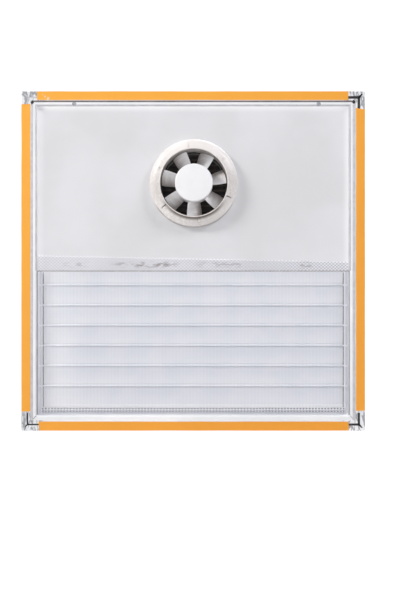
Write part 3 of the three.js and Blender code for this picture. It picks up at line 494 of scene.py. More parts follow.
@dataclass(frozen=True)
class StileFinish(Finish):
    """A stile greyed with painted shade, but for its lip, which keeps the coat's own white."""

    lip: str = "#F0F0F4"
    lip_at: Point = (357.8, 357.0)

    def tint(self, tree: Tree, place: Any) -> Any:
        """The stile's colour with its polished lip.

        Args:
            tree: the material's nodes
            place: object coordinates
        Returns:
            the socket with the colour
        """
        side = distance(tree, add_node(tree, "SeparateXYZ", {0: place}, "X"))
        lip = Ramp(side, *(edge * MM for edge in self.lip_at))
        return stained(tree, super().tint(tree, place), linear(self.lip), lip)


@dataclass(frozen=True)
class PileFinish(Finish):
    """Pile whose dark tufts show between dusty gaps."""

    tuft: float = 7.3

    def tint(self, tree: Tree, place: Any) -> Any:
        """The pile's colour along its tufts.

        Args:
            tree: the material's nodes
            place: object coordinates
        Returns:
            the socket with the colour
        """
        tufts = wave(tree, add_node(tree, "SeparateXYZ", {0: place}, "X"), self.tuft)
        return stained(tree, linear(self.colour), linear(self.shade), Ramp(tufts, 0.0, 0.3))


@dataclass(frozen=True)
class ScuffedFinish(Finish):
    """Powder coat scuffed grey round the frame's front corners, where it has been carried and levered."""

    scuff: str = "#77797F"
    corner: Point = (338.0, 362.0)  # how far out from the middle the scuffs start, and are full
    middle: float = 395.0
    front: Point = (-26.0, -29.0)
    scratch: float = 9.0

    def tint(self, tree: Tree, place: Any) -> Any:
        """The coat's colour with its scuffs, thin lines drawn where a noise crosses its middle.

        Args:
            tree: the material's nodes
            place: object coordinates
        Returns:
            the socket with the colour
        """
        x, y, z = add_node(tree, "SeparateXYZ", {0: place}).node.outputs
        tilt = (0, math.radians(45), 0)
        drawn = add_node(tree, "Mapping", {"Vector": place, "Rotation": tilt, "Scale": (1, 1, 0.3)})
        density = PER_METRE / self.scratch
        lines = add_node(tree, "TexNoise", {"Vector": drawn, "Scale": density, "Detail": 2.0})
        parts = [
            Ramp(distance(tree, lines, 0.5), 0.08, 0.03, most=0.75),
            Ramp(y, *(v * MM for v in self.front)),
        ]
        for axis, middle in ((x, 0.0), (z, self.middle * MM)):
            parts.append(Ramp(distance(tree, axis, middle), *(v * MM for v in self.corner)))
        return stained(tree, super().tint(tree, place), linear(self.scuff), *parts)


@dataclass(frozen=True)
class DeepFinish(Finish):
    """A surface that takes another colour, a little patchy, the further it lies from its front edge."""

    deep: str = "#8A807A"
    start: float = -42.0
    full: float = -33.0
    most: float = 0.9
    patch: float = 16.0

    def tint(self, tree: Tree, place: Any) -> Any:
        """The surface's colour from its front edge inwards.

        Args:
            tree: the material's nodes
            place: object coordinates
        Returns:
            the socket with the colour
        """
        y = add_node(tree, "SeparateXYZ", {0: place}, "Y")
        depth = Ramp(y, self.start * MM, self.full * MM, most=self.most)
        density = PER_METRE / self.patch
        noise = add_node(tree, "TexNoise", {"Vector": place, "Scale": density, "Detail": 4.0})
        patchy = Ramp(noise, 0.3, 0.7, 0.75)
        return stained(tree, super().tint(tree, place), linear(self.deep), depth, patchy)


@dataclass(frozen=True)
class FlangeFinish(Finish):
    """Warm moulding with one brown smudge of dirt, and painted shade: soft patches on its sides and lower
    half, ticks at two clip slots, a shadow under the collar and a line along the rim's lower edge.
    """

    grime_and_painted_shade: str = "#6E625B"
    painted_shade_rings: tuple[Size, ...] = (  # radius where the painted shade starts, radius where it is full, and strength
        (89.5, 82.5, 0.95), (99.5, 102.5, 0.55),
    )
    ring_drop: Point = (-30.0, -72.0)  # how far below the centre the rings start, and are full
    # the first four marks are painted shade on the sides and lower half, the fifth a brown smudge of dirt, the
    # last two painted shade at the clip slots
    marks: tuple[tuple[float, float, float, float, float], ...] = (  # angle, radius, length, width, strength
        (300.0, 92.0, 110.0, 210.0, 0.24),
        (188.0, 92.0, 90.0, 130.0, 0.32),
        (2.0, 92.0, 50.0, 70.0, 0.2),
        (242.0, 92.0, 40.0, 60.0, 0.16),
        (278.0, 88.0, 12.0, 6.0, 0.5),
        (218.0, 90.0, 12.0, 4.0, 0.6),
        (338.0, 90.0, 12.0, 4.0, 0.6),
    )

    def tint(self, tree: Tree, place: Any) -> Any:
        """The moulding's colour with its smudge of dirt and its painted shade and shadow.

        Args:
            tree: the material's nodes
            place: object coordinates
        Returns:
            the socket with the colour
        """
        colour, grime_and_painted_shade = super().tint(tree, place), linear(self.grime_and_painted_shade)
        centre = (FAN_AXIS[0] * MM, 0, FAN_AXIS[1] * MM)
        ragged = add_node(tree, "TexNoise", {"Vector": place, "Scale": PER_METRE / 5.0, "Detail": 4.0})
        for angle, radius, long, wide, strength in self.marks:
            turn = math.radians(angle)
            right, up = radius * math.cos(turn), radius * math.sin(turn)
            local = add_node(tree, "Mapping", {
                "Vector": place,
                "Location": Vector((FAN_AXIS[0] + right, 0, FAN_AXIS[1] + up)) * MM,
                "Rotation": (0, -turn, 0),
                "Scale": (long * MM, 1e3, wide * MM),
            }, vector_type="TEXTURE")
            away = add_node(tree, "VectorMath", {0: local}, "Value", operation="LENGTH")
            away = add_node(tree, "Math", {0: away, 1: ragged}, operation="ADD")
            colour = stained(tree, colour, grime_and_painted_shade, Ramp(away, 1.3, 0.4, most=strength))
        spoke = add_node(tree, "VectorMath", {0: place, 1: centre}, operation="SUBTRACT")
        across, _, up = add_node(tree, "SeparateXYZ", {0: spoke}).node.outputs
        flat = add_node(tree, "CombineXYZ", {0: across, 2: up})
        radius = add_node(tree, "VectorMath", {0: flat}, "Value", operation="LENGTH")
        below = share(tree, Ramp(up, *(drop * MM for drop in self.ring_drop)))
        # painted shadow under the collar and painted shade along the rim's lower edge, on the lower half only
        for shade_start, shade_full, strength in self.painted_shade_rings:
            colour = stained(tree, colour, grime_and_painted_shade, Ramp(radius, shade_start * MM, shade_full * MM), below, strength)
        return colour


@dataclass(frozen=True)
class BladeFinish(Finish):
    """Warm white moulding whose blades grey towards their trailing edges: partly dust, partly painted shade.
    """

    # partly dust, partly painted shade
    dust: str = "#B3A8A1"

    def tint(self, tree: Tree, place: Any) -> Any:
        """The moulding's colour, greyed in streaks towards each blade's trailing edge by dust and painted
        shade.

        Args:
            tree: the material's nodes
            place: object coordinates
        Returns:
            the socket with the colour
        """
        chord, reach = (
            add_node(tree, "Attribute", output="Fac", attribute_name=name) for name in ("chord", "reach")
        )
        along = add_node(tree, "CombineXYZ", {0: share(tree, chord, 0.06), 1: reach})
        streaks = add_node(tree, "TexNoise", {"Vector": along, "Scale": PER_METRE / 60, "Detail": 5.0})
        dusty = add_node(tree, "Math", {
            0: share(tree, Ramp(chord, 0.1, 1.0, most=0.6)),
            1: share(tree, Ramp(streaks, 0.35, 0.65, -0.2, 0.2), Ramp(chord, 0.04, 0.2)),
        }, operation="ADD", use_clamp=True)
        return stained(tree, super().tint(tree, place), linear(self.dust), dusty)


class Finishes:
    """Every finish on the window, each named for what it is and how it was made."""

    # Polyester powder baked on extruded aluminium: satin, with a faint orange peel about a millimetre across.
    FRAME = ScuffedFinish(
        "powder_coated_aluminium", "coated_frame", "#F1F2F5", "#E6E8EC", 0.36, 160, 1.4, 0.03, 0.05,
    )
    # Rigid PVC drawn through a die: smooth, with a faint ripple about a millimetre across.
    BEAD = Finish("extruded_white_pvc", "bead", "#F8F8FA", "#EEF0F3", 0.3, 120, 1.0, 0.02, 0.05)
    # Painter's low-tack tape: a thin crepe paper film, soft sheen, crinkled about a millimetre apart.
    TAPE = TapeFinish("orange_crepe_tape", "orange_tape", "#FCB03E", "#F0A130", 0.6, 60, 1.1, 0.05, 0.08)
    # Foamed PVC sheet: dead flat, satin and a little lilac.
    PANEL = PanelFinish("foamed_pvc_sheet", "pale_panel", "#E4E4E8", "#DCDCDF", 0.48, 220, 2.2, 0.02, 0.07)
    # Glass-fibre yarn in a PVC coat: matt pale grey, the coat pooling every couple of millimetres.
    NET = NetFinish("coated_glass_fibre_yarn", "insect_net", "#E4E4E9", "#A0A1A8", 0.6, 14, 1.6, 0.03, 0.08)
    # Plain PVC strip, sawn to length and a little chalky.
    PACKER = Finish("sawn_pvc_strip", "packer", "#DEDFE1", "#D2D3D6", 0.55, 40, 1.5, 0.03, 0.06)
    # Thin extruded PVC blades: a little glossier than the frame, with a faint relief drawn out along them.
    FLAP = FlapFinish(
        "extruded_pvc_blade", "flap_sheet", "#D9DADF", "#D2D5DC", 0.34, 70, 1.3, 0.02, 0.06, (0.2, 1, 1),
    )
    # The frame's powder coat on the stiles, greyed with painted shade.
    STILE = StileFinish("powder_coat_with_painted_shade", "coated_frame", "#D6D6DB", "#CCCCD2", 0.45, 60, 1.4, 0.03, 0.05)
    # The same coat on the sill rail, greyed with painted shade.
    RAIL = Finish("rail_powder_coat_with_painted_shade", "coated_frame", "#D6D7DC", "#CDCED4", 0.5, 60, 1.4, 0.03, 0.05)
    # Grey strips on the frame's inner walls round the shutter, matt: painted shade of those walls.
    WALL_SHADE = Finish("grey_painted_shade_strip", "bead", "#A9A9AE", "#9C9CA1", 0.8, 20, 1.5, 0.08, 0.05)
    # Steel wire drawn round and dipped in white enamel: smooth and fairly glossy.
    ROD = Finish("enamelled_steel_wire", "coated_rod", "#F6F6F8", "#ECECEF", 0.3, 30, 0.9, 0.02, 0.05)
    # Moulded ABS: warm white and slightly translucent, satin from the mould's spark-eroded skin.
    MOULDING = Finish(
        "moulded_warm_abs", "fan_moulding", "#F1ECEA", "#E9E3E1", 0.38, 55, 0.9, 0.02, 0.05, subsurface=0.05,
    )
    # The same ABS with a smudge of dirt, and painted shade and shadow.
    FLANGE = FlangeFinish("smudged_and_shaded_warm_abs", "fan_moulding", "#F7F3F1", "#F0EBE9", 0.4, 55, 0.9, 0.02, 0.06)
    # The same ABS as little plugs, aged a shade further.
    PLUG = Finish("yellowed_abs_plug", "fan_moulding", "#F4EFED", "#EBE4E1", 0.45, 6, 0.9, 0.02, 0.06)
    # The same ABS inside the duct, darker and browner behind the pale lip: partly brown dust laid by the air,
    # partly painted shade.
    DUCT = DeepFinish("dusty_and_shaded_warm_abs", "fan_moulding", "#F3EFED", "#ECE7E5", 0.42, 40, 1.0, 0.02, 0.06)
    # The wheel's ABS: a finer skin than the flange's, with dust baked on by the air and painted shade towards
    # the blades' trailing edges.
    BLADE = BladeFinish(
        "moulded_abs_with_dust_and_painted_shade", "impeller_moulding", "#F5F5F8", "#F1F0F2", 0.36, 60, 0.8, 0.012, 0.04,
    )
    # Glass-filled nylon: near black, with the fibres showing as a dull speckle.
    DARK = Finish("glass_filled_nylon", "dark_moulding", "#1B191B", "#252224", 0.55, 20, 0.8, 0.04, 0.1)
    # The same nylon at the outdoor side: its vanes are pale brown at their room edges, and black behind them.
    VANE = DeepFinish(
        "pale_edged_glass_filled_nylon", "dark_moulding", "#6A605A", "#4F4743", 0.7, 20, 1.2, 0.06, 0.08,
        deep="#1A181A", start=41.0, full=45.0, most=0.95,
    )
    # EPDM rubber: dead black with a bloom of dust.
    RUBBER = Finish("black_epdm_rubber", "dark_moulding", "#17161A", "#2A282C", 0.7, 9, 1.0, 0.05, 0.1)
    # Nylon pile: dark tufts parted by gaps full of pale dust, drawn 7.3 mm apart so that they show.
    BRUSH = PileFinish("dusty_nylon_pile", "dark_moulding", "#1F1E21", "#F0F0F4", 0.85, 2, 1.2, 0.15, 0.05)
    # Soft pale lip drawn together with the bead: matt, with a little dirt.
    LIP = Finish("soft_grey_lip", "bead", "#CFCFD3", "#C3C3C8", 0.65, 18, 1.0, 0.03, 0.08)
    # The same soft stuff, dark brown, along the head tape and at the blades' ends.
    DARK_LIP = Finish("dark_brown_soft_lip", "bead", "#767070", "#67615F", 0.7, 12, 1.0, 0.03, 0.08)
    # Soft PVC trim on the panel's lower edge, grey-brown.
    TRIM = Finish("grey_brown_edge_trim", "bead", "#A8A3A1", "#938E8C", 0.7, 12, 1.0, 0.03, 0.08)
    # Old grey caulk wiped along a mitre.
    CAULK = Finish("grey_mitre_caulk", "bead", "#8F9095", "#74757B", 0.7, 6, 1.0, 0.04, 0.08)
    # Soft weather seal that the sun has bleached.
    PALE_SEAL = Finish("bleached_seal", "bead", "#CDCDD2", "#C2C2C8", 0.6, 9, 1.0, 0.03, 0.08)
    # Aluminium cast under pressure and left bare: pale, with a fine frosted skin.
    CAST = Finish(
        "bare_cast_aluminium", "cast_alloy", "#B4B7BB", "#9DA1A6", 0.45, 22, 1.1, 0.05, 0.1, metallic=1.0,
    )
    # Zinc-plated steel, passivated clear: grey with a cloudy bloom.
    ZINC = Finish(
        "zinc_plated_steel", "bright_steel", "#94969B", "#6E7177", 0.38, 3, 0.6, 0.015, 0.1, metallic=1.0,
    )
    # Stainless steel, cold-headed and tumbled: a soft grey, lighter than the zinc.
    BRIGHT = Finish(
        "tumbled_stainless_steel", "bright_steel", "#ABADB1", "#8E9095", 0.34, 3, 0.6, 0.015, 0.08,
        metallic=1.0,
    )
    # Bronze powder pressed and sintered, full of oil: dull gold with pores.
    BRONZE = Finish(
        "sintered_bronze", "bearing_bronze", "#A97A45", "#8A6237", 0.5, 3, 0.7, 0.04, 0.08, metallic=1.0,
    )


# ---------------------------------------------------------------- modelling helpers

def finish_piece(
    obj: Piece, finish: Finish, *nodes: str, body: str = Body.UNIT.value, sharp: float = 32.0,
) -> Piece:
    """Dresses a piece, sets what it moves with and which nodes it stands for.

    Args:
        obj: the piece, in place
        finish: its material
        nodes: the CAD nodes that it replaces
        body: the body that it rides on
        sharp: edges that turn more than this many degrees stay crisp
    Returns:
        the same piece
    """
    obj.data.shade_smooth()
    obj.data.set_sharp_from_angle(angle=math.radians(sharp))
    obj.data.materials.clear()
    obj.data.materials.append(finish.material())
    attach(obj, body)
    if nodes:
        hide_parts(*nodes)
    log.info("%s: %d faces", obj.name, len(obj.data.polygons))
    return obj


def as_object(mesh: Mesh, name: str) -> Piece:
    """A piece made of a finished bmesh.

    Args:
        mesh: the bmesh, which is used up
        name: the piece's name
    Returns:
        the new object at the origin
    """
    bmesh.ops.remove_doubles(mesh, verts=mesh.verts, dist=1e-6)
    bmesh.ops.recalc_face_normals(mesh, faces=mesh.faces)
    data = bpy.data.meshes.new(name)
    mesh.to_mesh(data)
    mesh.free()
    obj = bpy.data.objects.new(name, data)
    bpy.context.scene.collection.objects.link(obj)
    return obj


def ease_edges(obj: Piece, width: float) -> Piece:
    """Rounds a piece's crisp edges a little, as a mould or a file does.

    Args:
        obj: the piece
        width: of the rounding, in millimetres
    Returns:
        the same piece
    """
    rounding = obj.modifiers.new("eased", "BEVEL")
    rounding.width = width * MM
    rounding.segments = 2
    rounding.limit_method = "ANGLE"
    rounding.angle_limit = math.radians(34)
    rounding.harden_normals = True
    return obj


def eased_copy(node: str, finish: Finish, width: float, body: str = Body.UNIT.value) -> Piece:
    """A copy of a CAD node with its edges eased, which stands for it.

    Args:
        node: the node's name
        finish: the copy's material
        width: of the rounding, in millimetres
        body: the body that it rides on
    Returns:
        the copy
    """
    mesh = bmesh.new()
    mesh.from_mesh(frame["nodes"][node].data)
    bmesh.ops.remove_doubles(mesh, verts=mesh.verts, dist=2e-6)
    bmesh.ops.dissolve_limit(mesh, angle_limit=math.radians(0.5), verts=mesh.verts, edges=mesh.edges)
    return finish_piece(ease_edges(as_object(mesh, f"{node}_eased"), width), finish, node, body=body)


def dress_node(node: str, finish: Finish) -> None:
    """Gives a CAD node that stays as it is its material.

    Args:
        node: the node's name
        finish: its material
    """
    data = frame["nodes"][node].data
    data.materials.clear()
    data.materials.append(finish.material())
    log.info("%s: kept", node)


def spin_profile(profile: list[Point], steps: int, closed: bool = True) -> Mesh:
    """A profile turned once about the Y axis.

    Args:
        profile: points as (radius, y) in millimetres
        steps: facets round the turn
        closed: whether the last point joins the first
    Returns:
        the turned surface, about the origin
    """
    mesh = bmesh.new()
    verts = [mesh.verts.new((r * MM, y * MM, 0)) for r, y in profile]
    ends = verts[1:] + verts[:1] if closed else verts[1:]
    edges = [mesh.edges.new(pair) for pair in zip(verts, ends)]
    bmesh.ops.spin(
        mesh, geom=[*verts, *edges], cent=(0, 0, 0), axis=(0, 1, 0), dvec=(0, 0, 0),
        angle=2 * math.pi, steps=steps, use_merge=True, use_normal_flip=False, use_duplicate=False,
    )
    bmesh.ops.remove_doubles(mesh, verts=mesh.verts, dist=1e-6)
    bmesh.ops.recalc_face_normals(mesh, faces=mesh.faces)
    return mesh


def curve(start: Point, first: Point, second: Point, end: Point, points: int) -> list[Point]:
    """Points along a smooth curve drawn from start to end.

    Args:
        start: its first point
        first: where it sets out towards
        second: where it comes in from
        end: its last point
        points: how many points it gets
    Returns:
        the points, ends included
    """
    knots = [Vector((*p, 0.0)) for p in (start, first, second, end)]
    return [(p.x, p.y) for p in interpolate_bezier(*knots, points)]


def soften(mesh: Mesh, made: list[Vertex], ease: float, **settings: Any) -> None:
    """Rounds every edge of a shape that has just been added.

    Args:
        mesh: the bmesh that holds it
        made: the shape's vertices
        ease: how far its edges are rounded, in millimetres
        settings: further settings of the bevel
    """
    edges = dict.fromkeys(e for v in made for e in v.link_edges)  # in the same order each run, unlike a set
    bmesh.ops.bevel(
        mesh, geom=list(edges), offset=ease * MM, offset_type="OFFSET",
        affect="EDGES", segments=2, profile=0.5, material=-1, **settings,
    )


def add_block(mesh: Mesh, size: Size, at: Matrix, ease: float = 0.0) -> list[Vertex]:
    """A block with softened edges, added to a bmesh.

    Args:
        mesh: the bmesh that gets it
        size: its width, depth and height in millimetres
        at: its place and turn
        ease: how far its edges are rounded, in millimetres
    Returns:
        its vertices
    """
    before = set(mesh.verts)
    scale = Matrix.Diagonal((*(s * MM for s in size), 1.0))
    made = bmesh.ops.create_cube(mesh, size=1.0, matrix=at @ scale)["verts"]
    if ease:
        soften(mesh, made, ease, clamp_overlap=True)
    return [v for v in mesh.verts if v not in before]


def from_blocks(name: str, finish: Finish, *blocks: Block) -> Piece:
    """A piece made of softened blocks that ride on the window.

    Args:
        name: the piece's name
        finish: its material
        blocks: each block's size, place and rounding
    Returns:
        the piece
    """
    mesh = bmesh.new()
    for block in blocks:
        add_block(mesh, *block)
    return finish_piece(as_object(mesh, name), finish)


def taper(verts: list[Vertex], at: Matrix, share_left: float) -> None:
    """Narrows a block's outer end, the one on its own +X side.

    Args:
        verts: the block's vertices
        at: its place and turn
        share_left: how much of its height is left there
    """
    for v in verts:
        local = at.inverted() @ v.co
        if local.x > 0:
            v.co = at @ Vector((local.x, local.y, local.z * share_left))


def cut_out(obj: Piece, cutter: Mesh) -> Piece:
    """Cuts one closed shape out of a piece.

    Args:
        obj: the piece, which keeps its name
        cutter: the shape to take away, which is used up
    Returns:
        the same piece
    """
    tool = as_object(cutter, "cutter")
    cut = obj.modifiers.new("cut", "BOOLEAN")
    cut.operation = "DIFFERENCE"
    cut.solver = "EXACT"
    cut.object = tool
    bpy.context.view_layer.update()
    shaped = bpy.data.meshes.new_from_object(obj.evaluated_get(bpy.context.evaluated_depsgraph_get()))
    obj.modifiers.clear()
    obj.data = shaped
    bpy.data.objects.remove(tool)
    return obj


def extent(node: str) -> tuple[Vector, Vector]:
    """The lowest and highest corners of a CAD node, in millimetres."""
    low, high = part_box(node)
    return low / MM, high / MM


def turned_place(x: float, y: float, z: float, degrees: float = 0.0) -> Matrix:
    """A place in millimetres, turned so that its +X points at an angle as seen from the room."""
    return Matrix.Translation(Vector((x, y, z)) * MM) @ Matrix.Rotation(math.radians(-degrees), 4, "Y")


def onto_fan_axis(obj: Piece) -> Piece:
    """Moves a piece drawn about the origin onto the fan's axis, within its mesh."""
    obj.data.transform(Matrix.Translation(Vector((FAN_AXIS[0], 0, FAN_AXIS[1])) * MM))
    return obj


# ---------------------------------------------------------------- frame

@dataclass
class WindowFrame:
    """Four grooved bars, mitred, with beads, tape, weather seals, corner keys and bead screws."""

    width: float = 800.0
    height: float = 790.0
    face: float = -31.0
    groove_middle: float = 14.5
    seal_width: float = 2.6
    seal_depth: float = 5.0
    seal_recess: float = 0.5
    corner_leg: float = 27.0
    corner_depth: float = 3.0
    corner_proud: float = 0.15
    tongue_lift: float = 1.2
    tape_steps: int = 90
    tape_film: float = 0.22
    tape_lift: float = 0.03
    head_tape_trim: float = 0.6
    tape_tears: tuple[Point, ...] = ((0.35, 31.0), (0.2, 97.0))  # depth and rate of a torn end's teeth
    tape_ends: tuple[Point, ...] = (  # how far each strip's ends lean, in the order of Side
        (2.2, -0.8), (0.5, -1.0), (-0.6, 0.8), (0.9, 3.4),
    )
    wall_inset: float = 35.3
    caulk: Size = (17.5, 0.5, 1.3)
    caulk_inset: float = 28.6
    # the size of each black piece of painted shade in a corner hole
    hole_shade: Size = (4.2, 6.4, 5.6)
    head_radius: float = 3.5
    head_height: float = 2.3
    shank_radius: float = 1.85
    tip: float = 1.9
    washer_radius: float = 5.2
    recess: Size = (4.34, 2.4, 0.75)  # one arm of the cross in a screw's head
    recess_turns: Point = (20.0, 110.0)

    def bars(self) -> None:
        """The bars with eased edges, the beads, and the cleats inside the corners."""
        for side in Side:
            eased_copy(f"frame_{side.value}", Finishes.FRAME, 0.35)
            eased_copy(f"bead_{side.value}", Finishes.BEAD, 0.3)
        for level in ("lower", "upper"):
            for hand in HANDS:
                dress_node(f"corner_cleat_{level}_{hand}", Finishes.CAST)

    def tape(self, side: Side, ends: Point) -> Piece:
        """One strip of tape, torn off by hand, a little wavy along its edges.

        Args:
            side: the bar that carries it
            ends: how far each of its ends leans, in millimetres
        Returns:
            the strip
        """
        low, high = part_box(f"edge_tape_{side.value}")
        low.z += self.head_tape_trim * MM * (side is Side.HEAD)
        draw = random.Random(side.value)
        waves = [(draw.uniform(7, 30), draw.uniform(0, 6.3), draw.uniform(0.1, 0.22)) for _ in range(4)]
        mesh = bmesh.new()
        steps = (self.tape_steps, 6) if side.level else (6, self.tape_steps)
        bmesh.ops.create_grid(mesh, x_segments=steps[0], y_segments=steps[1], size=0.5)
        size, middle = high - low, (low + high) / 2
        length, breadth = (size.x, size.z) if side.level else (size.z, size.x)
        for v in mesh.verts:
            along, across = (v.co.x, v.co.y) if side.level else (v.co.y, v.co.x)
            outwards = across * (-1 if side in (Side.SILL, Side.LEFT) else 1)
            lean = ends[0] * (0.5 - along) if along < 0 else -ends[1] * (0.5 + along)
            torn = sum(depth * math.sin(rate * across) for depth, rate in self.tape_tears)
            place = along * length
            if abs(along) > 0.499:  # on a torn end
                place += lean * (outwards + 0.5) * MM
                place -= math.copysign(abs(torn) * MM, along)
            offset = across * breadth
            if abs(across) > 0.49:  # on a long edge
                ripple = sum(a * math.sin(f * along + p) for f, p, a in waves)
                offset -= math.copysign(abs(ripple) * MM, across)
            lifted = high.y - self.tape_lift * MM * (1 + math.sin(53 * along + 5 * across))
            right, up = (place, offset) if side.level else (offset, place)
            v.co = (middle.x + right, lifted, middle.z + up)
        film = bmesh.ops.extrude_face_region(mesh, geom=mesh.faces[:])["geom"]
        front = [g for g in film if isinstance(g, bmesh.types.BMVert)]
        bmesh.ops.translate(mesh, verts=front, vec=(0, -self.tape_film * MM, 0))
        strip = as_object(mesh, f"tape_strip_{side.value}")
        return finish_piece(strip, Finishes.TAPE, f"edge_tape_{side.value}")

    def strip(
        self, side: Side, inset: float, wide: float, front: float, deep: float, ease: float,
        stops: Point | None = None,
    ) -> Block:
        """A straight strip along one side of the frame.

        Args:
            side: the side that it follows
            inset: its middle from the frame's outer edge, in millimetres
            wide: across the side
            front: its front face's Y
            deep: from front to back
            ease: how far its edges are rounded
            stops: how far from the frame's ends it stops, or its own inset
        Returns:
            the block's size, place and rounding
        """
        half = self.width / 2
        y = front + deep / 2
        near, far = stops or (inset - wide / 2, inset - wide / 2)
        if side.level:
            z = inset if side is Side.SILL else self.height - inset
            return (self.width - near - far, deep, wide), turned_place((near - far) / 2, y, z), ease
        x = inset - half if side is Side.LEFT else half - inset
        z = (self.height + near - far) / 2
        return (wide, deep, self.height - near - far), turned_place(x, y, z), ease

    def seals(self) -> None:
        """The bleached seal in the grooves, and the soft lips on both sides of the beads."""
        recessed = self.face + self.seal_recess
        from_blocks("groove_seal", Finishes.PALE_SEAL, *(
            self.strip(side, self.groove_middle, self.seal_width, recessed, self.seal_depth, 0.7)
            for side in Side
        ))
        seams = (  # side, inset, width, where it stops, finish
            (Side.HEAD, 23.6, 3.8, (26.4, 26.4), Finishes.DARK_LIP),
            (Side.LEFT, 24.2, 6.0, (24.0, 31.0), Finishes.PALE_SEAL),
            (Side.RIGHT, 25.6, 7.0, (24.0, 31.0), Finishes.PALE_SEAL),
        )
        for side, inset, wide, stops, finish in seams:
            from_blocks(
                f"bead_seam_{side.value}", finish,
                self.strip(side, inset, wide, self.face - 0.06, 0.7, 0.2, stops),
            )
        net_front, panel_low = extent("insect_mesh")[0].y, extent("upper_panel")[0].z
        lips = (  # side, inset, width, where it stops
            (Side.HEAD, 31.9, 2.3, (32.8, 32.8)),
            (Side.LEFT, 33.5, 3.4, (panel_low, 33.0)),
            (Side.RIGHT, 35.0, 4.4, (panel_low, 33.0)),
        )
        deep = net_front - self.face - 0.35
        for side, inset, wide, stops in lips:
            from_blocks(
                f"bead_lip_{side.value}", Finishes.LIP,
                self.strip(side, inset, wide, self.face + 0.2, deep, 0.6, stops),
            )

    def wall_shade_strips(self) -> Piece:
        """Grey strips on the frame's inner walls round the shutter, before and behind the net: painted shade
        of the walls.

        Returns:
            the strips, as one piece
        """
        low, high = extent("insect_mesh")
        stile = extent("shutter_stile_left")[0].y
        stops = (35.7, self.height - extent("upper_panel")[0].z)
        return from_blocks("wall_painted_shade", Finishes.WALL_SHADE, *(
            self.strip(side, self.wall_inset, 0.6, front, back - front, 0.15, stops)
            for front, back in ((self.face + 0.9, low.y - 0.1), (high.y + 0.1, stile - 0.1))
            for side in (Side.LEFT, Side.RIGHT)
        ))

    def corner_seals(self) -> None:
        """The corner keys in the grooves, each with a tongue out along the mitre; one has only the tongue."""
        corners = (  # name, which way out across and up, leg width, tongue length
            ("upper_right", 1, 1, 6.4, 11.5),
            ("lower_right", 1, -1, 5.4, 11.0),
            ("lower_left", -1, -1, 3.6, 9.0),
            ("upper_left", -1, 1, 0.0, 3.4),
        )
        deep = self.corner_depth
        y = self.face - self.corner_proud + deep / 2
        for name, sx, sz, wide, tongue in corners:
            mesh = bmesh.new()
            x = sx * (self.width / 2 - self.groove_middle)
            z = self.height / 2 + sz * (self.height / 2 - self.groove_middle)
            reach = self.corner_leg - wide / 2
            if wide:
                add_block(mesh, (reach + wide, deep, wide), turned_place(x - sx * reach / 2, y, z), 0.5)
                add_block(mesh, (wide, deep, reach + wide), turned_place(x, y, z - sz * reach / 2), 0.5)
            out = tongue / 2 * math.sqrt(0.5)
            at = turned_place(x + sx * out, y - self.tongue_lift, z + sz * out, 45 * sx * sz)
            for v in add_block(mesh, (tongue, 0.5, max(wide, 2.6)), at, 0.15):
                local = at.inverted() @ v.co
                away = local.x * sx / (tongue * MM) + 0.5
                v.co = at @ Vector((local.x, local.y, local.z * (1 - 0.6 * away)))
            finish = Finishes.RUBBER if wide else Finishes.LIP
            finish_piece(as_object(mesh, f"corner_seal_{name}"), finish)

    def mitre_caulk(self) -> Piece:
        """The lines of old caulk along the two lower mitres of the beads.

        Returns:
            both lines, as one piece
        """
        across = self.width / 2 - self.caulk_inset
        return from_blocks("mitre_caulk", Finishes.CAULK, *(
            (self.caulk, turned_place(sign * across, self.face + 0.3, self.caulk_inset, -45 * sign), 0.15)
            for sign in (-1, 1)
        ))

    def corner_hole_shades(self) -> Piece:
        """Pointed black pieces in the holes where the head bead's tips are nipped off: painted shade of the
        holes.

        Returns:
            both pieces, as one piece
        """
        mesh = bmesh.new()
        scale = Matrix.Diagonal((*(s * MM for s in self.hole_shade), 1.0)) @ Matrix.Rotation(math.pi / 2, 4, "X")
        for sign, inset, drop in ((-1, 25.3, 26.0), (1, 26.3, 25.0)):
            x = sign * (self.width / 2 - inset)
            at = turned_place(x, self.face + 3.0, self.height - drop, 12 * sign)
            made = bmesh.ops.create_cone(
                mesh, cap_ends=True, segments=4, radius1=1.0, radius2=1.0, depth=1.0, matrix=at @ scale,
            )["verts"]
            soften(mesh, made, 0.4)
        # black rubber finish, standing as painted shade of the holes
        return finish_piece(as_object(mesh, "corner_hole_shades"), Finishes.RUBBER)

    def screw(self, name: str, node: str, washer: bool = False) -> Piece:
        """A pan-head screw with a cross recess, in place of a plain one.

        Args:
            name: the new piece's name
            node: the screw's CAD node
            washer: whether it sits on a washer
        Returns:
            the screw
        """
        low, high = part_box(node)
        middle, front, back = (low + high) / 2 / MM, low.y / MM, high.y / MM
        r, shank, rim = self.head_radius, self.shank_radius, self.washer_radius
        under = front + self.head_height
        head = curve(
            (ON_AXIS, front), (r * 0.7, front), (r, front + self.head_height * 0.25),
            (r, front + self.head_height * 0.7), 7,
        )
        below = [(shank, under)]
        if washer:
            below = [(rim - 0.3, under), (rim, under + 0.3), (rim, under + 0.7), (shank, under + 0.7)]
        profile = [*head, (r, under), *below, (shank, back - self.tip), (ON_AXIS, back)]
        obj = as_object(spin_profile(profile, 28, closed=False), name)
        cross = bmesh.new()
        for turn in self.recess_turns:
            add_block(cross, self.recess, turned_place(0, front, 0, turn))
        cut_out(obj, cross)
        obj.data.transform(Matrix.Translation(Vector((middle.x, 0, middle.z)) * MM))
        return finish_piece(ease_edges(obj, 0.12), Finishes.BRIGHT if washer else Finishes.ZINC, node)

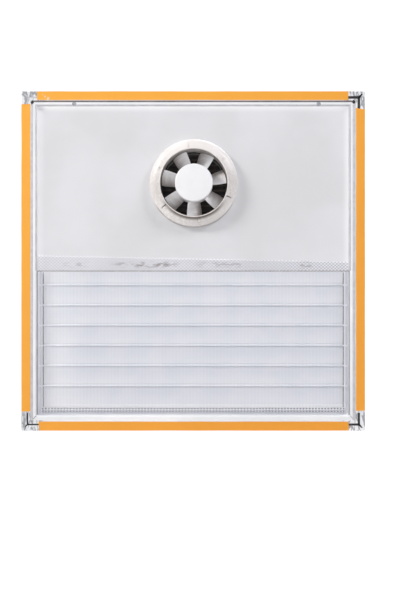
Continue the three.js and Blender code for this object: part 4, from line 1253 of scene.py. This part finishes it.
    def build(self) -> None:
        """The whole frame."""
        self.bars()
        for side, ends in zip(Side, self.tape_ends):
            self.tape(side, ends)
        self.seals()
        self.wall_shade_strips()
        self.corner_seals()
        self.mitre_caulk()
        self.corner_hole_shades()
        for hand in HANDS:
            self.screw(f"bead_pan_screw_{hand}", f"bead_screw_{hand}", washer=True)


# ---------------------------------------------------------------- panel and net

@dataclass
class Glazing:
    """The pale panel, the strips that pinch the net, and the net itself."""

    pitch: float = 1.6
    thin: float = 0.18
    thick: float = 0.22
    across: Point = (0.16, 0.05)  # the width of the yarns that run across, and how far it swings
    deep: float = 0.44
    beat: float = 8.0  # how far apart the yarns bunch
    margin: float = 0.3
    fray: float = 1.6
    trim: float = 2.4

    def strand(self, mesh: Mesh, start: Vector, end: Vector, wide: float) -> None:
        """One straight yarn of the net, drawn square.

        Args:
            mesh: the bmesh that gets it
            start: one end, in metres
            end: the other end
            wide: its width in millimetres
        """
        run = end - start
        turn = Vector((1, 0, 0)).rotation_difference(run).to_matrix().to_4x4()
        scale = Matrix.Diagonal((run.length, self.deep * MM, wide * MM, 1.0))
        bmesh.ops.create_cube(mesh, size=1.0, matrix=Matrix.Translation((start + end) / 2) @ turn @ scale)

    def net(self) -> Piece:
        """The insect net. Its yarns bunch every 8 mm, drawn that coarse so that the bunching shows.

        Returns:
            the net, as one sheet
        """
        low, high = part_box("insect_mesh")
        draw = random.Random(7)
        mesh = bmesh.new()
        top = high.z + low.x * NET_SLOPE  # at the middle of the width
        front, back = low.y + self.deep / 2 * MM, high.y - self.deep / 2 * MM
        count = int((high.x - low.x) / MM / self.pitch)
        for i in range(count + 1):
            x = low.x + self.margin * MM + i * (high.x - low.x - 2 * self.margin * MM) / count
            phase = math.cos(2 * math.pi * x / MM / self.beat)
            wide = self.thin + (self.thick - self.thin) * (0.5 + 0.5 * phase) + draw.uniform(-0.02, 0.02)
            lean = draw.uniform(-0.12, 0.12) * MM
            end = top - x * NET_SLOPE - (draw.uniform(0.1, 0.5) + self.fray * (0.5 - 0.5 * phase)) * MM
            self.strand(mesh, Vector((x, front, low.z)), Vector((x + lean, front, end)), wide)
        for i in range(int((high.z - low.z) / MM / self.pitch) + 1):
            z = low.z + self.margin * MM + i * self.pitch * MM
            reach = min(high.x, (top - z - self.fray * MM) / NET_SLOPE) - 0.2 * MM
            if reach < low.x + 5 * MM:
                continue
            phase = math.cos(2 * math.pi * z / MM / self.beat)
            wide = self.across[0] + self.across[1] * phase + draw.uniform(-0.02, 0.02)
            self.strand(mesh, Vector((low.x, back, z)), Vector((reach, back, z)), wide)
        obj = finish_piece(as_object(mesh, "insect_net"), Finishes.NET, "insect_mesh")
        return obj

    def edge_trim(self) -> Piece:
        """The dark trim pushed over the panel's lower edge.

        Returns:
            the trim
        """
        low, high = extent("upper_panel")
        size = (high.x - low.x, high.y - low.y + 0.3, self.trim)
        at = turned_place(0, (low.y + high.y) / 2, low.z - 0.4)
        return from_blocks("panel_edge_trim", Finishes.TRIM, (size, at, 0.4))

    def build(self) -> None:
        """Panel, packers and net."""
        self.edge_trim()
        eased_copy("upper_panel", Finishes.PANEL, 0.3)
        for name in (*HANDS, "sill"):
            eased_copy(f"mesh_packer_{name}", Finishes.PACKER, 0.3)
        self.net()


# ---------------------------------------------------------------- shutter

@dataclass
class GravityShutter:
    """Stiles, rails, and seven blades that each hang from a wire."""

    flaps: int = 7
    upper_strip: Point = (1.8, 3.2)  # depth and height
    lower_strip: Point = (1.6, 1.5)
    seal_clearance: float = 0.5
    seal_depth: float = 6.0
    cover: Size = (6.0, 1.4, 2.6)

    def brush_strips(self) -> Piece:
        """The pile strips on the sill rail: the lowest blade closes against the upper one.

        Returns:
            both strips, as one piece
        """
        low, high = extent("shutter_sill_rail")
        wide = high.x - low.x
        return from_blocks(
            "sill_brush_strips", Finishes.BRUSH,
            ((wide, *self.upper_strip), turned_place(0, low.y + 1.6, high.z + 1.0), 0.5),
            ((wide, *self.lower_strip), turned_place(0, low.y - 0.4, high.z - 5.4), 0.4),
        )

    def end_seals(self) -> Piece:
        """The dark strips on the stiles behind the wires, which close the gap at the blades' ends.

        Returns:
            both strips, as one piece
        """
        rail, panel = extent("shutter_sill_rail")[1].z, extent("upper_panel")[0].z
        inner = extent("flap_1")[1].x + self.seal_clearance
        gap = extent("shutter_stile_right")[0].x - inner
        y = extent("pivot_rod_1")[1].y + self.seal_depth / 2 + 0.3
        size, height = (gap, self.seal_depth, panel - rail - 6), (rail + panel) / 2
        return from_blocks("blade_end_seals", Finishes.DARK_LIP, *(
            (size, turned_place(sign * (inner + gap / 2), y, height), 0.3) for sign in (-1, 1)
        ))

    def wire_covers(self) -> Piece:
        """The little caps on the stiles' faces that keep the wires in.

        Returns:
            the caps, as one piece
        """
        caps = []
        for sign, hand in zip((-1, 1), HANDS):
            low, high = extent(f"shutter_stile_{hand}")
            for k in range(1, self.flaps + 1):
                rod_low, rod_high = extent(f"pivot_rod_{k}")
                height = (rod_low.z + rod_high.z) / 2 - 0.6
                at = turned_place((low.x + high.x) / 2 - sign * 1.6, low.y - 0.3, height)
                caps.append((self.cover, at, 0.4))
        return from_blocks("wire_covers", Finishes.BEAD, *caps)

    def build(self) -> None:
        """The fixed pieces, then each blade on its wire."""
        self.brush_strips()
        self.end_seals()
        self.wire_covers()
        for hand in HANDS:
            eased_copy(f"shutter_stile_{hand}", Finishes.STILE, 0.25)
        eased_copy("shutter_head_rail", Finishes.FRAME, 0.25)
        eased_copy("shutter_sill_rail", Finishes.RAIL, 0.25)
        for k in range(1, self.flaps + 1):
            eased_copy(f"flap_{k}", Finishes.FLAP, 0.18, f"leaf_{k}")
            eased_copy(f"pivot_rod_{k}", Finishes.ROD, 0.1, f"leaf_{k}")


# ---------------------------------------------------------------- fan

@dataclass
class FanBody:
    """The flange, duct, clamp ring, motor mount, grille and wiring box."""

    duct_inner: float = 78.5
    duct_outer: float = 80.3
    duct_lip: float = 0.9
    flange_radius: float = 103.0
    flange_rim: float = 2.6
    wall: float = 2.2
    screw_radius: float = 88.5
    screw_angle: float = 38.0
    screw_bore: float = 3.9
    plug_radius: float = 3.65
    slot_radius: float = 88.0
    slot_angle: float = 98.0
    slot: Size = (12.5, 18.0, 3.0)
    clip: Size = (10.5, 8.0, 2.5)
    steps: int = 120
    small_steps: int = 28

    def __post_init__(self) -> None:
        """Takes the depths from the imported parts."""
        self.flange_front, self.flange_back = (corner.y for corner in extent("fan_flange"))
        self.duct_front, self.duct_back = (corner.y for corner in extent("fan_duct"))

    def on_circle(self, radius: float, first: float, k: int, y: float = 0.0) -> Matrix:
        """One of three places round the axis, turned to face along its radius.

        Args:
            radius: its distance from the axis
            first: the angle of the first of the three, in degrees
            k: which of them, from 0
            y: its depth
        Returns:
            the place, about the origin
        """
        degrees = first + 120 * k
        angle = math.radians(degrees)
        return turned_place(radius * math.cos(angle), y, radius * math.sin(angle), degrees)

    def dish(self, inset: float = 0.0) -> list[Point]:
        """The flange's bulge, from its rim to the collar.

        Args:
            inset: how far inside its skin it runs
        Returns:
            points as (radius, y)
        """
        outer, front = self.flange_radius - inset, self.flange_front + inset
        rim, collar = self.flange_back - self.flange_rim, (self.duct_outer + 0.3, front)
        return curve((outer, rim), (outer, rim - 7.5), (outer - 9, front + 1.0), collar, 17)

    def skin_at(self, radius: float) -> float:
        """How far forward the flange's skin is at a radius.

        Args:
            radius: the distance from the axis
        Returns:
            the skin's Y
        """
        points = self.dish()
        (r1, y1), (r2, y2) = next((a, b) for a, b in zip(points, points[1:]) if b[0] <= radius <= a[0])
        return y1 + (y2 - y1) * (radius - r1) / (r2 - r1)

    def flange(self) -> Piece:
        """The dished flange with its clip slots and sunk screw seats.

        Returns:
            the flange
        """
        back = [(self.flange_radius, self.flange_back), (self.flange_radius - self.wall, self.flange_back)]
        profile = [back[0], *self.dish(), *reversed(self.dish(self.wall)), back[1]]
        obj = as_object(spin_profile(profile, self.steps), "dished_flange")
        cutter = bmesh.new()
        deeper = Matrix.Translation((0, self.flange_front * MM, 0))
        upright = Matrix.Rotation(math.pi / 2, 4, "X")
        for k in range(3):
            at = self.on_circle(self.slot_radius, self.slot_angle, k, self.flange_front + 4)
            taper(add_block(cutter, self.slot, at), at, 0.25)
            bmesh.ops.create_cone(
                cutter, cap_ends=True, segments=self.small_steps, radius1=self.screw_bore * MM,
                radius2=self.screw_bore * MM, depth=36 * MM,
                matrix=self.on_circle(self.screw_radius, self.screw_angle, k) @ deeper @ upright,
            )
        cut_out(obj, cutter)
        return finish_piece(ease_edges(onto_fan_axis(obj), 0.35), Finishes.FLANGE, "fan_flange", sharp=40)

    def clips(self) -> None:
        """The clip tongues in the flange's slots: the upper one flush and pale, the others dark."""
        kinds = (("flange_clips", Finishes.DARK, (1, 2)), ("flange_blank", Finishes.PLUG, (0,)))
        for name, finish, which in kinds:
            mesh = bmesh.new()
            for k in which:
                y = self.skin_at(self.slot_radius + 2) + (1.1 if k else -0.1) + self.clip[1] / 2
                at = self.on_circle(self.slot_radius - 0.6, self.slot_angle, k, y)
                taper(add_block(mesh, self.clip, at, 0.3), at, 0.3)
            finish_piece(onto_fan_axis(as_object(mesh, name)), finish)

    def round_screws(self, name: str, finish: Finish, profile: list[Point], closed: bool) -> Piece:
        """Three turned shapes, one at each of the flange's screws.

        Args:
            name: the piece's name
            finish: its material
            profile: of one shape, as (radius, y)
            closed: whether the profile's last point joins its first
        Returns:
            the three, as one piece
        """
        mesh = bmesh.new()
        data = bpy.data.meshes.new("turned")
        for k in range(3):
            turned = spin_profile(profile, self.small_steps, closed)
            turned.transform(self.on_circle(self.screw_radius, self.screw_angle, k))
            turned.to_mesh(data)
            turned.free()
            mesh.from_mesh(data)
        bpy.data.meshes.remove(data)
        return finish_piece(onto_fan_axis(as_object(mesh, name)), finish)

    def plugs(self) -> Piece:
        """The domed plugs pushed in over the sunk screws.

        Returns:
            the plugs, as one piece
        """
        skin, r = self.skin_at(self.screw_radius), self.plug_radius
        dome = curve((ON_AXIS, skin + 0.1), (2.2, skin + 0.1), (3.6, skin + 0.3), (r, skin + 1.2), 7)
        profile = [*dome, (r, skin + 5), (ON_AXIS, skin + 5)]
        return self.round_screws("screw_plugs", Finishes.PLUG, profile, closed=False)

    def screw_seats(self) -> Piece:
        """The three seats that the flange's screws sink into, joined to its back.

        Returns:
            the seats, as one piece
        """
        front, back = self.flange_front, self.flange_back
        cup = [
            (2.3, back - 3.2), (3.9, back - 3.2), (3.9, front + 4), (5.6, front + 6), (5.6, back), (2.3, back),
        ]
        return self.round_screws("flange_screw_seats", Finishes.MOULDING, cup, closed=True)

    def duct(self) -> Piece:
        """The duct's tube, with a rounded front lip.

        Returns:
            the tube
        """
        inner, outer, front = self.duct_inner, self.duct_outer, self.duct_front
        middle, lip = (inner + outer) / 2, front + self.duct_lip
        profile = [
            *curve((inner, lip), (inner, front + 0.3), (middle - 0.5, front), (middle, front), 5),
            *curve((middle, front), (middle + 0.5, front), (outer, front + 0.3), (outer, lip), 5)[1:],
            (outer, self.duct_back), (inner, self.duct_back),
        ]
        tube = onto_fan_axis(as_object(spin_profile(profile, self.steps), "duct_tube"))
        return finish_piece(tube, Finishes.DUCT, "fan_duct")

    def grille(self) -> Piece:
        """The ring of the outdoor grille, which sleeves over the duct.

        Returns:
            the ring
        """
        low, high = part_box("outer_grille")
        outer, front, back = (high.x - low.x) / 2 / MM, low.y / MM, high.y / MM
        sleeve, stop = self.duct_outer + 0.3, self.duct_back + 0.3
        profile = [
            (sleeve, front), (outer - 0.6, front), (outer, front + 3), (outer, back - 1.5),
            (outer - 1.5, back), (self.duct_inner + 0.8, back), (self.duct_inner, back - 0.8),
            (self.duct_inner, stop), (sleeve, stop),
        ]
        ring = onto_fan_axis(as_object(spin_profile(profile, self.steps), "grille_ring"))
        return finish_piece(ease_edges(ring, 0.3), Finishes.DARK, "outer_grille")

    def build(self, window: WindowFrame) -> None:
        """Every fixed piece of the fan.

        Args:
            window: the frame, whose pattern of screw the flange shares
        """
        self.flange()
        self.clips()
        self.plugs()
        self.screw_seats()
        self.duct()
        self.grille()
        eased_copy("rear_clamp_ring", Finishes.MOULDING, 0.35)
        eased_copy("grille_vanes", Finishes.VANE, 0.25)
        for name, width in (("motor_mount", 0.3), ("terminal_box", 0.8), ("cable_gland", 0.3)):
            eased_copy(name, Finishes.DARK, width)
        for k in (1, 2, 3):
            window.screw(f"flange_pan_screw_{k}", f"flange_screw_{k}")


@dataclass
class FanWheel:
    """The moulded wheel: a domed hub cup and seven bent blades."""

    blades: int = 7
    phase: float = 14.0
    hub_radius: float = 44.0
    hub_wall: float = 2.0
    boss_radius: float = 8.0
    boss_depth: float = 14.5
    bore: float = 3.1
    crown: float = 1.4
    rounding: float = 3.0
    dimple: float = 0.7
    dimple_radius: float = 11.0
    blade_setback: float = 21.0
    blade_depth: float = 26.0
    blade_tip: float = 76.0
    root_span: float = 36.0
    tip_span: float = 26.5
    camber: float = 0.08
    thickness: float = 2.4
    along: int = 14
    across: int = 18
    steps: int = 112

    def __post_init__(self) -> None:
        """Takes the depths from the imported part."""
        self.hub_front, self.hub_back = (corner.y for corner in extent("impeller"))
        self.blade_front = self.hub_front + self.blade_setback

    def blade(self) -> Mesh:
        """One blade, from the hub's wall to its tip, with its chord and reach kept for the dust and painted
        shade.

        Returns:
            the blade, about the origin
        """
        mesh = bmesh.new()
        bmesh.ops.create_cube(mesh, size=1.0)
        for axis, cuts in ((0, self.along), (2, self.across)):
            edges = [e for e in mesh.edges if abs((e.verts[0].co - e.verts[1].co)[axis]) > 0.9]
            bmesh.ops.subdivide_edges(mesh, edges=edges, cuts=cuts, use_grid_fill=True)
        chord = mesh.verts.layers.float.new("chord")
        reach = mesh.verts.layers.float.new("reach")
        root = self.hub_radius - self.hub_wall / 2
        for v in mesh.verts:
            along, side, across = v.co.x + 0.5, v.co.y, v.co.z + 0.5
            radius = root + (self.blade_tip - root) * along
            arc = radius * math.radians(self.root_span + (self.tip_span - self.root_span) * along)
            length = math.hypot(arc, self.blade_depth)
            bulge = 4 * across * (1 - across)
            rise = self.camber * length * bulge + side * self.thickness * (0.5 + 0.5 * math.sqrt(bulge))
            sweep = (arc * (across - 0.5) + rise * self.blade_depth / length) / radius
            y = self.blade_front + self.blade_depth * across - rise * arc / length
            v[chord] = across
            v[reach] = along
            v.co = Vector((radius * math.cos(sweep), y, radius * math.sin(sweep))) * MM
        return mesh

    def hub(self) -> Mesh:
        """The domed cup, dimpled in the middle, with the boss that takes the shaft.

        Returns:
            the cup, about the origin
        """
        front, skin, r = self.hub_front, self.hub_front + self.crown, self.hub_radius
        inside, floor, seat = r - self.hub_wall, skin + 2, front + self.boss_depth
        low, ring = front + self.dimple, self.dimple_radius
        dimple = curve((ON_AXIS, low), (5, low), (6, front), (ring, front), 9)
        dome = curve((ring, front), (24, front), (r - 12, skin - 0.7), (r - self.rounding, skin), 11)
        edge = curve(
            (r - self.rounding, skin), (r - 1, skin + 0.15), (r, skin + 1.2), (r, skin + self.rounding), 7,
        )
        inner = [
            (r, self.hub_back), (inside, self.hub_back), (inside, skin + self.rounding), (inside - 2, floor),
            (self.boss_radius, floor), (self.boss_radius, seat), (self.bore, seat), (self.bore, floor),
            (ON_AXIS, floor),
        ]
        return spin_profile([*dimple, *dome[1:], *edge[1:], *inner], self.steps, closed=False)

    def wheel(self) -> Piece:
        """The hub with its blades, one moulding.

        Returns:
            the moulding
        """
        mesh = self.hub()
        mesh.verts.layers.float.new("chord")
        mesh.verts.layers.float.new("reach")
        blade = self.blade()
        data = bpy.data.meshes.new("blade")
        for k in range(self.blades):
            turned = blade.copy()
            turn = Matrix.Rotation(math.radians(-self.phase - 360 / self.blades * k), 3, "Y")
            bmesh.ops.rotate(turned, verts=turned.verts, cent=(0, 0, 0), matrix=turn)
            turned.to_mesh(data)
            turned.free()
            mesh.from_mesh(data)
        blade.free()
        bpy.data.meshes.remove(data)
        obj = ease_edges(onto_fan_axis(as_object(mesh, "fan_wheel_moulding")), 0.3)
        return finish_piece(obj, Finishes.BLADE, "impeller", body=Body.WHEEL.value)

    def build(self) -> None:
        """The moulding, and the steel that turns with it."""
        self.wheel()
        for name in ("rotor", "shaft"):
            dress_node(name, Finishes.ZINC)


@dataclass
class Motor:
    """The motor's cast shell, with its laminations and bearings inside."""

    shell_ease: float = 0.5

    def build(self) -> None:
        """Shell eased, inner pieces kept."""
        for name in ("motor_housing", "motor_end_cap"):
            eased_copy(name, Finishes.CAST, self.shell_ease)
        dress_node("stator", Finishes.ZINC)
        for name in ("bearing_front", "bearing_rear"):
            dress_node(name, Finishes.BRONZE)


# ---------------------------------------------------------------- studio

@dataclass
class Studio:
    """White floor and backdrop, soft light from above, and the camera."""

    eye: Size = (0.017, -1.973, 0.303)
    lens: float = 50.0
    aim: Size = (0.0, 0.0, 0.42)
    fill: float = 0.15
    floor_run: Point = (-4.0, 8.0)  # where the floor starts across, and how far it reaches
    lamps: tuple[tuple[str, Size, float, float, str], ...] = (  # name, place, size, watts, colour
        ("softbox_left", (-4.8, -2.2, 3.5), 1.3, 256.0, "#FFFDFA"),
        ("softbox_right", (4.2, -2.2, 4.3), 1.3, 162.0, "#FCFCFF"),
        ("softbox_front", (-0.3, -3.6, 0.5), 1.6, 17.0, "#FFFFFF"),
        ("softbox_back", (0.8, 2.3, 2.4), 1.6, 40.0, "#FBFCFF"),
    )
    shadowless: tuple[str, ...] = (
        "frame_", "bead_", "tape_strip_", "wall_", "insect_net", "shutter_stile", "shutter_head_rail",
        "upper_panel", "panel_edge",
    )

    def seen(self, tree: Tree) -> Any:
        """Whether a ray shows the studio itself, straight or in gloss and glass, rather than lights with it.

        Args:
            tree: the nodes that ask
        Returns:
            the socket, 1 where the studio shows
        """
        rays = add_node(tree, "LightPath").node.outputs
        shown = rays["Is Camera Ray"]
        for name in ("Is Glossy Ray", "Is Transmission Ray"):
            shown = add_node(tree, "Math", {0: shown, 1: rays[name]}, operation="MAXIMUM")
        return shown

    def paper(self) -> bpy.types.Material:
        """Studio paper that looks white to the camera and keeps a soft shadow.

        Returns:
            the material
        """
        made = bpy.data.materials.new("studio_paper")
        made.use_nodes = True
        tree = made.node_tree
        tree.nodes.clear()
        plain_paper = add_node(tree, "BsdfDiffuse", {"Color": linear("#E8E8E8")})
        veil = add_node(tree, "BsdfDiffuse", {"Color": (0.3, 0.3, 0.3, 1.0)})
        glow = add_node(tree, "Emission", {"Strength": 0.8})
        white = add_node(tree, "AddShader", {0: glow, 1: veil})
        both = add_node(tree, "MixShader", {0: self.seen(tree), 1: plain_paper, 2: white})
        add_node(tree, "OutputMaterial", {0: both})
        return made

    def sweep(self) -> Piece:
        """The floor, which turns up into the backdrop in one curve.

        Returns:
            the floor and backdrop
        """
        mesh = bmesh.new()
        turn = curve((1.6, 0.0), (2.4, 0.0), (3.0, 0.5), (3.0, 1.4), 13)
        verts = [mesh.verts.new((self.floor_run[0], y, z)) for y, z in [(-5.0, 0.0), *turn, (3.0, 4.5)]]
        edges = [mesh.edges.new(pair) for pair in zip(verts, verts[1:])]
        pulled = bmesh.ops.extrude_edge_only(mesh, edges=edges)["geom"]
        far = [g for g in pulled if isinstance(g, bmesh.types.BMVert)]
        bmesh.ops.translate(mesh, verts=far, vec=(self.floor_run[1], 0, 0))
        obj = as_object(mesh, "studio_sweep")
        obj.data.shade_smooth()
        obj.data.materials.append(self.paper())
        return obj

    def lamp(self, name: str, at: Size, size: float, power: float, colour: str) -> None:
        """A square softbox aimed at the middle of the window.

        Args:
            name: the lamp's name
            at: its place in metres
            size: the length of its side in metres
            power: in watts
            colour: of its light
        """
        light = bpy.data.lights.new(name, "AREA")
        light.size = size
        light.energy = power
        light.color = linear(colour)[:3]
        obj = bpy.data.objects.new(name, light)
        obj.location = at
        obj.rotation_euler = (Vector(self.aim) - Vector(at)).to_track_quat("-Z", "Y").to_euler()
        bpy.context.scene.collection.objects.link(obj)

    def camera(self) -> None:
        """The camera, level, at the photograph's viewing angle."""
        data = bpy.data.cameras.new("photograph")
        data.lens = self.lens
        data.sensor_width = 36.0
        data.sensor_fit = "AUTO"
        obj = bpy.data.objects.new("photograph", data)
        obj.location = self.eye
        obj.rotation_euler = (math.pi / 2, 0.0, 0.0)
        bpy.context.scene.collection.objects.link(obj)
        bpy.context.scene.camera = obj

    def clear_shadows(self) -> None:
        """Keeps the lamps' shadows of the window's shallow steps off its panel and blades.

        The frame, the beads, the tape, the linings, the net, the stiles, the head rail, the panel and its
        trim cast none, as if bounce cards stood all round. It is called once they are all there.
        """
        blockers = bpy.data.collections.new("cast_no_shadow")
        for obj in bpy.context.scene.objects:
            if obj.type == "MESH" and obj.name.startswith(self.shadowless):
                blockers.objects.link(obj)
        for item in blockers.collection_objects:
            item.light_linking.link_state = "EXCLUDE"
        for obj in bpy.context.scene.objects:
            if obj.type == "LIGHT":
                obj.light_linking.blocker_collection = blockers

    def build(self) -> None:
        """World, lamps, sweep and camera."""
        world = bpy.data.worlds.new("studio_air")
        bpy.context.scene.world = world
        world.use_nodes = True
        tree = world.node_tree
        tree.nodes.clear()
        strength = add_node(tree, "MapRange", {"Value": self.seen(tree), "To Min": self.fill, "To Max": 1.0})
        air = add_node(tree, "Background", {"Color": linear("#FBFCFF"), "Strength": strength})
        add_node(tree, "OutputWorld", {0: air})
        for lamp in self.lamps:
            self.lamp(*lamp)
        self.sweep()
        self.camera()
        bpy.context.scene.view_settings.view_transform = "Standard"


# ---------------------------------------------------------------- the whole window


def main() -> None:
    """Builds the studio and the window."""
    logging.basicConfig(level=logging.INFO, format="%(message)s")
    studio = Studio()
    studio.build()
    window = WindowFrame()
    window.build()
    Glazing().build()
    GravityShutter().build()
    FanBody().build(window)
    FanWheel().build()
    Motor().build()
    studio.clear_shadows()


if __name__ == "__main__":
    main()
